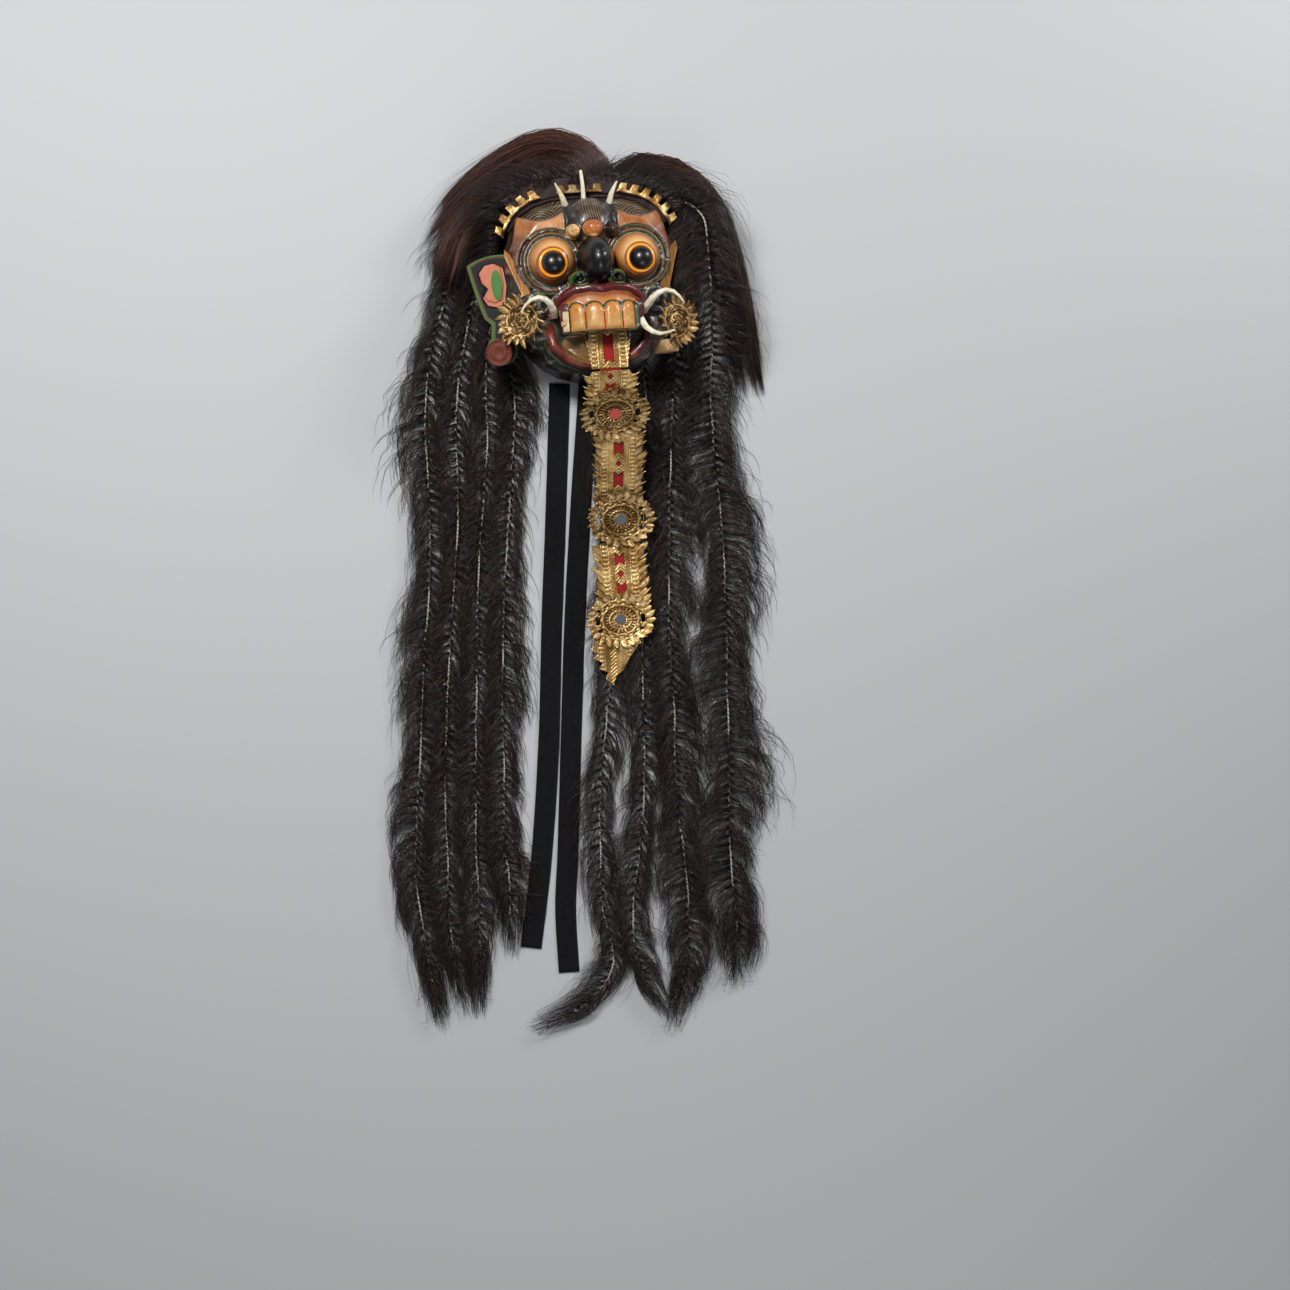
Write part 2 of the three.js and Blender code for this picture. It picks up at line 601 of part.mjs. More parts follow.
// The second rosette bridges the bend between the sloping stretch and the level one
function overBend() {
  const share = (TONGUE.chinY - BEND.above) / (TONGUE.chinY - TONGUE.footY);
  const height = THREE.MathUtils.lerp(TONGUE.mouthZ, TONGUE.floorZ, share);
  return tonguePlane(BEND.above, height + BEND.clear, BEND.below, TONGUE.floorZ + BEND.clear);
}

function addTongue() {
  add("tongue_cloth", tongueCloth(), PAINT.red);
  const planes = [at(0, TONGUE.chinY, TONGUE.mouthZ), CHIN_PLANE, CHIN_PLANE, FLOOR_PLANE];
  planes.forEach((plane, i) => {
    const solid = solidOf(tonguePanel(PANELS[i]), plane.clone().multiply(at(0, 0, PANEL_LIFT)));
    add(`tongue_panel_${i + 1}`, solid, PAINT.gilt);
  });
  const rosettes = [
    [CHIN_PLANE.clone().multiply(at(0, 0, ROSETTE_LIFT)), 16, -66],
    [overBend(), 24, -49],
    [FLOOR_PLANE.clone().multiply(at(0, 0, ROSETTE_LIFT)), 14, -349],
  ];
  rosettes.forEach(([plane, x, y], i) => {
    add(`tongue_rosette_${i + 1}`, rosette(x, y).transform(plane.elements), PAINT.gilt);
    const lift = at(0, 0, ROSETTE.thick + GAP);
    add(`tongue_mirror_${i + 1}`, solidOf(mirror(x, y), plane.clone().multiply(lift)), PAINT.mirror);
  });
  const tipPlace = TIP_PLANE.clone().multiply(at(0, 0, PANEL_LIFT - LEATHER));
  add("tongue_tip", solidOf(tongueTip(), tipPlace), PAINT.gilt);
}

// Routes of the hair locks along their undersides, chosen by hand: x, y, z in millimetres
const LOCKS = {
  hair_crest_left_upper: {
    half: 19,
    route: [
      [22, 252, 34], [22, 288, 20], [2, 318, 2], [-32, 328, 0], [-70, 318, 0], [-122, 288, 0],
      [-165, 250, 0], [-200, 207, 0],
    ],
  },
  hair_crest_left_lower: {
    half: 12,
    route: [
      [-14, 250, 34], [-30, 282, 26], [-66, 288, 24], [-108, 268, 24], [-147, 238, 24],
      [-176, 200, 24], [-196, 146, 22],
    ],
  },
  hair_crest_right: {
    half: 15,
    route: [
      [56, 248, 20], [78, 282, 4], [112, 291, 0], [159, 275, 0], [193, 235, 0], [211, 179, 0],
      [220, 113, 0], [226, 48, 0], [232, -18, 0],
    ],
  },
  hair_lock_left_1: {
    half: 14.5,
    route: [
      [-78, 238, 6], [-131, 236, 0], [-170, 186, 0], [-205, 109, 0], [-231, 25, 0], [-242, -59, 0],
      [-244, -159, 0], [-253, -272, 0], [-269, -385, 0], [-283, -498, 0], [-297, -610, 0],
      [-305, -695, 0], [-299, -781, 0], [-289, -876, 0],
    ],
  },
  hair_lock_left_2: {
    half: 14,
    route: [
      [-112, 204, 6], [-140, 173, 0], [-167, 93, 0], [-189, 9, 0], [-198, -62, 0], [-203, -162, 0],
      [-217, -275, 0], [-232, -373, 0], [-244, -472, 0], [-255, -585, 0], [-258, -671, 0],
      [-262, -755, 0], [-255, -858, 0],
    ],
  },
  hair_lock_left_3: {
    half: 13.5,
    route: [
      [-117, 126, 4], [-135, 91, 0], [-150, 6, 0], [-154, -72, 0], [-167, -170, 0], [-181, -255, 0],
      [-191, -362, 0], [-202, -475, 0], [-210, -575, 0], [-217, -660, 0], [-219, -759, 0],
      [-227, -866, 0],
    ],
  },
  hair_lock_left_4: {
    half: 14,
    route: [
      [-108, 66, 4], [-112, 20, 0], [-112, -40, 0], [-119, -96, 0], [-131, -180, 0], [-143, -265, 0],
      [-153, -350, 0], [-161, -436, 0], [-167, -535, 0], [-174, -649, 0], [-173, -720, 0],
      [-179, -782, 0],
    ],
  },
  hair_lock_right_1: {
    half: 19,
    height: 18,
    route: [
      [116, 84, 4], [130, 44, 0], [124, 2, 0], [114, -74, 0], [106, -141, 0], [97, -243, 0],
      [90, -310, 0], [86, -383, 0], [85, -467, 0], [80, -556, 0], [80, -639, 0], [83, -706, 0],
      [82, -772, 0], [74, -844, 0], [52, -911, 0],
    ],
  },
  hair_lock_right_2: {
    half: 27,
    height: 18,
    route: [
      [100, 222, 26], [138, 238, 60], [163, 212, 86], [168, 172, 92], [168, 107, 92], [171, 46, 62],
      [172, -24, 12], [173, -96, 0], [174, -173, 0], [175, -231, 0], [173, -300, 0], [170, -386, 0],
      [163, -476, 0], [159, -562, 0], [153, -646, 0], [149, -720, 0], [152, -793, 0], [143, -862, 0],
    ],
  },
  hair_lock_back_1: {
    half: 11,
    route: [
      [38, 0, 2], [40, -40, 0], [31, -91, 0], [19, -177, 0], [9, -291, 0], [-1, -405, 0],
      [-20, -519, 0], [-33, -604, 0], [-40, -698, 0], [-42, -755, 0], [-34, -798, 0], [-33, -837, 0],
      [-54, -873, 0], [-93, -903, 0], [-130, -913, 0],
    ],
  },
  hair_lock_back_2: {
    half: 12,
    route: [
      [78, 26, 2], [79, -30, 0], [71, -110, 0], [61, -205, 0], [50, -320, 0], [42, -440, 0],
      [35, -560, 0], [21, -670, 0], [4, -750, 0], [0, -808, 0], [12, -862, 0], [32, -902, 0],
    ],
  },
};

// A lock with a flat underside, whose edges step out once for each tuft of hair
function lock({ route, half, height = LOCK.height }) {
  const curve = new THREE.CatmullRomCurve3(route.map((p) => new THREE.Vector3(...p)), false, "centripetal");
  const length = curve.getLength();
  const tufts = Math.round(length / LOCK.tuft);
  const rings = [];
  const section = (share, flare) => {
    const p = curve.getPointAt(share);
    const t = curve.getTangentAt(share).setZ(0).normalize();
    const taper = Math.min(0.62 + 4.2 * share, 1, 0.22 + 6 * (1 - share));
    const w = half * flare * taper;
    const h = height * Math.min(1, 0.5 + 5 * (1 - share));
    const low = Math.max(p.z, 0);
    return [[-w, 0], [w, 0], [0.78 * w, 0.62 * h], [0, h], [-0.78 * w, 0.62 * h]].map(
      ([side, up]) => new THREE.Vector3(p.x + side * -t.y, p.y + side * t.x, low + up),
    );
  };
  for (let i = 0; i < tufts; i++) {
    rings.push(section(i / tufts, 1));
    rings.push(section((i + 0.82) / tufts, LOCK.flare));
  }
  rings.push(section(1, 0.6));
  return solidOf(loft(rings));
}

// Flat cotton ties, cut straight across at the end
const TIES = {
  neck_tie_left: [[-43, -5], [-61, -171], [-81, -342], [-99, -512], [-121, -668], [-148, -806]],
  neck_tie_right: [[0, -8], [-25, -173], [-48, -344], [-67, -515], [-84, -672], [-94, -757], [-96, -846]],
};

function tie(route) {
  const curve = new THREE.CatmullRomCurve3(route.map(([x, y]) => new THREE.Vector3(x, y, 0)));
  const steps = 12;
  const rings = [];
  for (let i = 0; i <= steps; i++) {
    const p = curve.getPointAt(i / steps);
    const t = curve.getTangentAt(i / steps);
    rings.push([[TIE.half, 0], [TIE.half, TIE.thick], [-TIE.half, TIE.thick], [-TIE.half, 0]].map(
      ([side, up]) => new THREE.Vector3(p.x - side * t.y, p.y + side * t.x, up),
    ));
  }
  return loft(rings);
}

add("mask_face", head(), PAINT.wood);
for (const [name, [paint, make]] of Object.entries(pegged)) add(name, make(0), paint);
add("ear_plug_left", plug(0), PAINT.plug);
const crownLow = BAND.high + GAP;
add("wig_band", bandSolid(0), PAINT.maroon);
const crown = outlineArc(5, 12, RAISE + 2 * GAP, CROWN.reach, crownLow, crownLow + CROWN.thick);
add("crown_band", crown, PAINT.maroon);
add("crown_gilt_left", giltTabs(117, 152, 5, 20), PAINT.gilt);
add("crown_gilt_middle", giltTabs(78, 108, 4, 19), PAINT.gilt);
add("crown_gilt_right", giltTabs(30, 70, 6, 20), PAINT.gilt);
addTongue();
const clearOfBand = bandSolid(GAP);
const clearOfHead = dome(GAP, -1);
for (const [name, shape] of Object.entries(LOCKS))
  add(name, trimmed(lock(shape), clearOfBand, clearOfHead), PAINT.hair);
for (const [name, route] of Object.entries(TIES)) add(name, tie(route), PAINT.tie);

export default root;
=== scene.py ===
# %% [markdown]
# # A carved demon mask with a mane of hair
# The real object is a hollow wooden head, painted and gilded, with a long gilt
# leather tongue and locks of hair tied to cords. It lies face up on a table.
# The frame gives every piece its true place, so this script only adds the looks:
# carving, paint, punched leather and loose hair.

# %% Open the frame
import math

import bpy
import numpy as np
from mathutils import Matrix, Vector


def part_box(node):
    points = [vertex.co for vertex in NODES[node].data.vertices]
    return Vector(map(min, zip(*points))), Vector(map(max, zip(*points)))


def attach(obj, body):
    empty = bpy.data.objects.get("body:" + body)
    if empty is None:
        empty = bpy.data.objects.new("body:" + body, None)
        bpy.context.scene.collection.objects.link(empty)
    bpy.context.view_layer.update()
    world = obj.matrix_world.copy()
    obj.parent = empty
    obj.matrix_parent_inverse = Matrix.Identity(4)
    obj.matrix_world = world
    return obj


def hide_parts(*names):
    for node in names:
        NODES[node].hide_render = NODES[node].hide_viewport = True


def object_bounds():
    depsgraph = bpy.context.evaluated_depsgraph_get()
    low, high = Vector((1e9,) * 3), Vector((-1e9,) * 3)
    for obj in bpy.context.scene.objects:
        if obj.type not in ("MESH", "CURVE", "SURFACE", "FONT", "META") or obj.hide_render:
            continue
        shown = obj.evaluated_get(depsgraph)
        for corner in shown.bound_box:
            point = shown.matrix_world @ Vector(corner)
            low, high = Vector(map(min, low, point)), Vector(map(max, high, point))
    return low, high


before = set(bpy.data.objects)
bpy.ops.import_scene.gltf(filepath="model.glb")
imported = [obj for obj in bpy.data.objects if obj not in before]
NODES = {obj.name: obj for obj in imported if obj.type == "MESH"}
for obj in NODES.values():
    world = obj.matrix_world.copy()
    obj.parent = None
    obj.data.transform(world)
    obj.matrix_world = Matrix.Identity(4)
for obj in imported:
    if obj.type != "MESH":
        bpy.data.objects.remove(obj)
cad_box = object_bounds()
MM = 0.001
print("pieces in the frame:", len(NODES))

# %% [markdown]
# ## The camera, the table and the light
# A photographer looks down on the face from far away with a long lens, a little
# from the left and with the camera rolled a few degrees. A large soft lamp from
# the upper left and a weak one from the right give gentle shadows, and a cool
# grey sky fills the rest.

# %% Camera
YAW, ROLL = math.radians(10), math.radians(4.5)
CAMERA_AT = Vector((-0.7695, -0.3878, 4.6553))
LENS, SENSOR = 91.7, 36.0


def camera_turn():
    """The camera's rotation: it looks down, turned by YAW and rolled by ROLL."""
    ahead = Vector((math.sin(YAW), 0, -math.cos(YAW)))
    level = Vector((math.cos(YAW), 0, math.sin(YAW)))
    up = Vector((0, 1, 0))
    right = level * math.cos(ROLL) - up * math.sin(ROLL)
    top = level * math.sin(ROLL) + up * math.cos(ROLL)
    return Matrix((right, top, -ahead)).transposed().to_4x4()


camera = bpy.data.objects.new("camera", bpy.data.cameras.new("camera"))
bpy.context.collection.objects.link(camera)
camera.data.lens, camera.data.sensor_width = LENS, SENSOR
camera.matrix_world = Matrix.Translation(CAMERA_AT) @ camera_turn()
bpy.context.scene.camera = camera
print("camera height in metres:", round(CAMERA_AT.z, 2))

# %% Table, lamps and sky
FLOOR_SIZE, FLOOR_COLOUR = 14.0, (0.47, 0.475, 0.485, 1)
LAMPS = {
    "key_lamp": ((-0.9, 1.0, 2.3), 0.5, 66),
    "edge_lamp": ((1.9, 1.0, 1.2), 0.5, 24),
    "low_lamp": ((0.3, -2.4, 2.0), 1.0, 13),
}
SKY_COLOUR, SKY_STRENGTH = (0.80, 0.83, 0.88, 1), 0.16


def principled(name):
    """A new material and its main shader."""
    material = bpy.data.materials.new(name)
    material.use_nodes = True
    return material, material.node_tree.nodes["Principled BSDF"]


def set_values(node, **values):
    """Gives a node plain values; an underscore stands for a space in an input's name."""
    for name, value in values.items():
        node.inputs[name.replace("_", " ")].default_value = value


bpy.ops.object.select_all(action="DESELECT")
bpy.ops.mesh.primitive_plane_add(size=FLOOR_SIZE, location=(0, -0.3, -0.0005))
table_top = bpy.context.active_object
table_top.name = "table_top"
pale, pale_shader = principled("pale_table")
set_values(pale_shader, Base_Color=FLOOR_COLOUR, Roughness=0.7)
table_top.data.materials.append(pale)
for name, (place, size, power) in LAMPS.items():
    lamp = bpy.data.objects.new(name, bpy.data.lights.new(name, "AREA"))
    bpy.context.collection.objects.link(lamp)
    lamp.data.energy, lamp.data.size = power, size
    lamp.location = place
    lamp.rotation_euler = (Vector((0, 0, 0.1)) - lamp.location).to_track_quat("-Z", "Y").to_euler()
world = bpy.data.worlds.new("sky")
bpy.context.scene.world = world
world.use_nodes = True
set_values(world.node_tree.nodes["Background"], Color=SKY_COLOUR, Strength=SKY_STRENGTH)
bpy.context.scene.view_settings.view_transform = "Standard"

# %% [markdown]
# ## Small tools
# A shape that comes from the frame is copied, its loose triangles are merged, and
# a voxel skin turns it into an even net that can be smoothed and carved. Numpy
# then reads and writes the points of that net all at once.

# %% Mesh tools
def only(piece):
    """Selects one piece and makes it active."""
    bpy.ops.object.select_all(action="DESELECT")
    piece.select_set(True)
    bpy.context.view_layer.objects.active = piece


def linked(name, mesh):
    """A new object at the origin that shows a mesh."""
    piece = bpy.data.objects.new(name, mesh)
    bpy.context.collection.objects.link(piece)
    return piece


def applied(piece, kind, **settings):
    """Adds one modifier with its settings and applies it."""
    only(piece)
    modifier = piece.modifiers.new(kind.lower(), kind)
    for key, value in settings.items():
        setattr(modifier, key, value)
    bpy.ops.object.modifier_apply(modifier=modifier.name)


def whole_mesh(piece, step, **settings):
    """Runs one step of edit mode on all of a piece."""
    only(piece)
    bpy.ops.object.mode_set(mode="EDIT")
    bpy.ops.mesh.select_all(action="SELECT")
    step(**settings)
    bpy.ops.object.mode_set(mode="OBJECT")


def skin_over(node, name, voxel, passes):
    """A copy of one node of the frame under an even net, smoothed some passes."""
    piece = linked(name, NODES[node].data.copy())
    piece.data.materials.clear()
    whole_mesh(piece, bpy.ops.mesh.remove_doubles, threshold=1e-6)
    applied(piece, "REMESH", mode="VOXEL", voxel_size=voxel * MM)
    applied(piece, "SMOOTH", iterations=passes, factor=0.5)
    bpy.ops.object.shade_smooth()
    return piece


def read(collection, key):
    """Three numbers for each member of a mesh collection."""
    flat = np.empty(len(collection) * 3, np.float32)
    collection.foreach_get(key, flat)
    return flat.reshape(-1, 3).astype(float)


def points_of(piece):
    """The piece's points in millimetres."""
    return read(piece.data.vertices, "co") / MM


def normals_of(piece):
    return read(piece.data.vertex_normals, "vector")


def set_points(piece, points):
    piece.data.vertices.foreach_set("co", (points * MM).astype(np.float32).ravel())
    piece.data.update()


def store(piece, **fields):
    """Keeps a number for each point under every given name, for the paint to read."""
    for name, values in fields.items():
        kept = piece.data.attributes.new(name, "FLOAT", "POINT")
        kept.data.foreach_set("value", (np.zeros(len(kept.data)) + values).astype(np.float32))


def dressed(piece, material, slot, *nodes):
    """Gives a piece its finish and lets it stand for its nodes."""
    piece.data.materials.clear()
    piece.data.materials.append(material)
    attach(piece, "root")
    if nodes:
        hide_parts(*nodes)
    return piece


def ridges_of(piece, points, normals, rounds=3):
    """How far each point stands out from its neighbours, softened, in hundredths of a millimetre."""
    ends = np.empty(len(piece.data.edges) * 2, np.int32)
    piece.data.edges.foreach_get("vertices", ends)
    a, b = ends.reshape(-1, 2).T
    count = np.bincount(a, minlength=len(points)) + np.bincount(b, minlength=len(points))

    def around(values):
        total = np.bincount(a, values[b], len(points)) + np.bincount(b, values[a], len(points))
        return total / np.maximum(count, 1)

    middle = np.column_stack([around(points[:, k]) for k in range(3)])
    stand = ((points - middle) * normals).sum(axis=1) * 100
    for _ in range(rounds):
        stand = around(stand)
    return stand


def smooth_step(values, low, high):
    t = np.clip((values - low) / (high - low), 0, 1)
    return t * t * (3 - 2 * t)


def wobble(points, scale, seed):
    """Soft made-up unevenness between -1 and 1 over the points."""
    rng = np.random.default_rng(seed)
    total = np.zeros(len(points))
    for _ in range(7):
        wave = rng.normal(size=3) / scale
        total += np.sin(points @ wave + rng.uniform(0, 6.28))
    return total / 7 ** 0.5 / 1.6


# %% Distances in the plane of the face
def to_segment(x, y, start, end):
    """Distance to a straight piece of line in the plane."""
    (ax, ay), (bx, by) = start, end
    length = (bx - ax) ** 2 + (by - ay) ** 2
    t = np.clip(((x - ax) * (bx - ax) + (y - ay) * (by - ay)) / length, 0, 1)
    return np.hypot(x - ax - t * (bx - ax), y - ay - t * (by - ay))


def to_path(x, y, corners):
    """Distance to an open line in the plane."""
    return np.min([to_segment(x, y, *ends) for ends in zip(corners, corners[1:])], axis=0)


def to_polygon(x, y, corners):
    """Distance to an outline in the plane, positive inside it."""
    ring = corners + corners[:1]
    inside = np.zeros(len(x), bool)
    for (ax, ay), (bx, by) in zip(ring, ring[1:]):
        if by != ay:
            inside ^= ((ay > y) != (by > y)) & (x < (bx - ax) * (y - ay) / (by - ay) + ax)
    return np.where(inside, 1, -1) * to_path(x, y, ring)


# %% Paint tools
def rgb(code):
    """A colour written as six hex digits, as the light values that a shader takes."""
    parts = [int(code[i : i + 2], 16) / 255 for i in (0, 2, 4)]
    return tuple(p / 12.92 if p <= 0.04045 else ((p + 0.055) / 1.055) ** 2.4 for p in parts) + (1,)


class Paint:
    """A material that is built up in layers, like paint on a primed surface."""

    def __init__(self, name):
        self.material, self.shader = principled(name)
        self.tree = self.material.node_tree
        self.where = self.node("ShaderNodeTexCoord").outputs["Object"]

    def node(self, kind, **settings):
        made = self.tree.nodes.new(kind)
        for key, value in settings.items():
            setattr(made, key, value)
        return made

    def join(self, source, target):
        if hasattr(source, "is_output"):
            self.tree.links.new(source, target)
        else:
            target.default_value = source

    def kept(self, name):
        """The number that was stored on the points under this name."""
        return self.node("ShaderNodeAttribute", attribute_name=name).outputs["Fac"]

    def math(self, operation, first, second=0.0):
        made = self.node("ShaderNodeMath", operation=operation)
        self.join(first, made.inputs[0])
        self.join(second, made.inputs[1])
        return made.outputs[0]

    def above(self, value, edge, soft=0.4):
        """1 where the value is above the edge, 0 below it."""
        made = self.node("ShaderNodeMapRange", interpolation_type="SMOOTHSTEP")
        self.join(value, made.inputs[0])
        made.inputs[1].default_value, made.inputs[2].default_value = edge - soft, edge + soft
        return made.outputs[0]

    def below(self, value, edge, soft=0.4):
        return self.math("SUBTRACT", 1.0, self.above(value, edge, soft))

    def between(self, value, low, high, soft=0.4):
        return self.times(self.above(value, low, soft), self.below(value, high, soft))

    def times(self, first, *others):
        """The product of numbers; for masks it is 1 only where all of them are 1."""
        for value in others:
            first = self.math("MULTIPLY", first, value)
        return first

    def mix(self, share, first, second):
        """The first colour turns into the second as the share goes from 0 to 1."""
        made = self.node("ShaderNodeMix", data_type="RGBA")
        for socket, value in ((0, share), (6, first), (7, second)):
            self.join(rgb(value) if isinstance(value, str) else value, made.inputs[socket])
        return made.outputs[2]

    def coat(self, under, over, *masks):
        """Lays one colour over another where all the masks are 1."""
        return self.mix(self.times(*masks), under, over)

    def surface(self, **values):
        set_values(self.shader, **values)

    def noise(self, scale, detail=3.0, stretch=(1, 1, 1)):
        spread = self.node("ShaderNodeMapping")
        set_values(spread, Scale=stretch)
        self.join(self.where, spread.inputs["Vector"])
        made = self.node("ShaderNodeTexNoise")
        self.join(spread.outputs[0], made.inputs["Vector"])
        set_values(made, Scale=scale, Detail=detail)
        return made.outputs["Fac"]

    def bump(self, height, strength, distance):
        made = self.node("ShaderNodeBump")
        set_values(made, Strength=strength, Distance=distance)
        self.join(height, made.inputs["Height"])
        self.join(made.outputs[0], self.shader.inputs["Normal"])

    def finish(self, colour, rough=None):
        self.join(colour, self.shader.inputs["Base Color"])
        if rough is not None:
            self.join(rough, self.shader.inputs["Roughness"])
        return self.material


# %% [markdown]
# ## The carved head
# On the real mask one block of wood holds the brow, the eyes, the snout, the gum
# and the jaw. A net over the frame's head is softened first, as sanding does, and
# then the round forms are set back to true curves: the eyeballs and their pupils,
# the nose, the four teeth with their grooves. Each painted area gets a distance
# that is stored on the points, so that its painted edge stays crisp.

# %% Sizes on the face, in millimetres
EYE = dict(x=60, y=156, radius=34, z=122, lid=38.5)
IRIS = dict(x=62, y=151, radius=21, top=151.5, dish=2.2, pupil=16, step=1.5, rise=14)
NOSE = dict(y=153, half=25, length=34, top=186, depth=50)
NOSTRIL = dict(x=27, y=126, wide=8.2, tall=6.2)
SNOUT = dict(x=44, y=122, wide=12, tall=10, depth=1.6)
CHEEK = dict(x=84, y=98, ring=18, soft=10, depth=1.5)
TOOTH_EDGES = [-47, -26, 0, 26, 47]
TOOTH = dict(low=51, top=91, middle=66, front=182, curve=140, bow=0.0022, groove=5.5, soft=2.4)
DOME = dict(y=198, wide=15.5, tall=12.5)
BOSS = dict(x=28, y=195, radius=10.6, stump_radius=10.2, stump_squash=1.1)
BROW_ARCS = dict(x=70, y=213, wide=1.35, radius=21)
TONGUE_ROOT = dict(x=-8, y=36, wide=46, tall=26, low=112, high=131)
HATCH = dict(x=70, y=26, wide=13, tall=11)
UPPER_LIP = [(-66, 84), (-55, 100), (-38, 110), (-16, 112), (0, 109), (16, 112), (38, 110), (55, 100),
             (66, 84)]
LOWER_LIP = [(-70, 62), (-68, 42), (-50, 22), (-24, 10), (0, 7), (24, 10), (50, 22), (68, 42), (70, 62)]
PLATE = [(36, 192), (38, 226), (54, 218), (72, 214), (88, 218), (101, 227), (107, 205), (112, 186),
         (124, 150), (102, 132), (60, 156)]
RIM_Z, INSIDE_TOP, INSIDE_HALF, CARVING_FROM = 1.2, 112, 104, 100

head = skin_over("mask_face", "carved_head", 2.03, 4)
points = points_of(head)
facing = normals_of(head)
x, y, z = points.T
side = np.abs(x)
print("head points:", len(points), "faces:", len(head.data.polygons))

# %% Eyes and nose set back to true curves
eye_d = np.hypot(side - EYE["x"], y - EYE["y"])
iris_d = np.hypot(side - IRIS["x"], y - IRIS["y"])
front = (z > CARVING_FROM) & (facing[:, 2] > -0.2)
ball = EYE["z"] + np.sqrt(np.clip(EYE["radius"] ** 2 - eye_d ** 2, 0, None))
iris = IRIS["top"] + IRIS["dish"] * (1 - (iris_d / IRIS["radius"]) ** 2)
dome = np.sqrt(np.clip(1 - (iris_d / IRIS["pupil"]) ** 2, 0, None))
pupil = IRIS["top"] + IRIS["step"] + IRIS["rise"] * dome
eye_z = np.where(iris_d < IRIS["radius"] - 0.4, np.maximum(iris, ball), ball)
eye_z = np.where(iris_d < IRIS["pupil"], np.maximum(eye_z, pupil), eye_z)
in_eye = front & (eye_d < EYE["radius"] - 1.6) & (z > EYE["z"])
z = np.where(in_eye, eye_z, z)
nose_q = (x / NOSE["half"]) ** 2 + ((y - NOSE["y"]) / NOSE["length"]) ** 2
nose_z = NOSE["top"] - NOSE["depth"] * (1 - np.sqrt(np.clip(1 - nose_q, 0, None)))
z = np.where(front & (nose_q < 0.86), np.maximum(nose_z, z), z)

# %% Teeth with round tops and grooves between them
tooth = np.full(len(x), -1e9)
for left, right in zip(TOOTH_EDGES, TOOTH_EDGES[1:]):
    middle, half = (left + right) / 2, (right - left) / 2
    spring = TOOTH["top"] - half
    round_d = half - np.hypot(x - middle, y - spring)
    straight_d = np.minimum(half - np.abs(x - middle), y - TOOTH["low"])
    tooth = np.maximum(tooth, np.where(y > spring, round_d, straight_d))
tooth_front = TOOTH["front"] - x ** 2 / TOOTH["curve"]
tooth_z = tooth_front - TOOTH["groove"] * np.exp(-np.clip(tooth, 0, None) / TOOTH["soft"])
tooth_z -= TOOTH["bow"] * (y - TOOTH["middle"]) ** 2
z = np.where(front & (tooth > 0) & (z > 140), tooth_z, z)
in_row = (y > TOOTH["low"] + 4) & (y < TOOTH["top"] - 3) & (side < TOOTH_EDGES[-1] + 1) & (z > 150)
between_teeth = front & (tooth <= 0) & (tooth > -3) & in_row
z = np.where(between_teeth, np.minimum(z, tooth_front - TOOTH["groove"]), z)

# %% Shallow carving: lids, wrinkles, flutes and the marks of the hand
lid = 1.3 * np.cos((eye_d - EYE["lid"]) / 1.9)
lid *= smooth_step(eye_d, 33.5, 35.5) * (1 - smooth_step(eye_d, 44, 49))
near_snout = ((side - SNOUT["x"]) / SNOUT["wide"]) ** 2 + ((y - SNOUT["y"]) / SNOUT["tall"]) ** 2
snout = SNOUT["depth"] * np.cos(y / 2.6 + 0.02 * x ** 2) * np.exp(-near_snout)
cheek_d = np.hypot(side - CHEEK["x"], y - CHEEK["y"])
near_cheek = np.exp(-((cheek_d - CHEEK["ring"]) / CHEEK["soft"]) ** 2)
cheek = CHEEK["depth"] * np.cos(cheek_d / 2.3) * near_cheek
carve = front * (1 - smooth_step(nose_q, 0.2, 0.8) * (nose_q < 1)) * (tooth < -2)
z = z + carve * (lid * (nose_q > 1) + snout * (nose_q > 1.1) + cheek)
hand = 0.35 * wobble(points, 9, 3) + 0.5 * wobble(points, 24, 4)
in_hollow = (side < INSIDE_HALF) & (z < INSIDE_TOP) & (y > 5) & (y < 236)
points[:, 2] = z
points += facing * (hand * (~in_hollow & (z > 4)) * ~in_eye)[:, None]
points[:, 2] = np.where(points[:, 2] < RIM_Z, np.maximum(points[:, 2], 0.0), points[:, 2])
set_points(head, points)

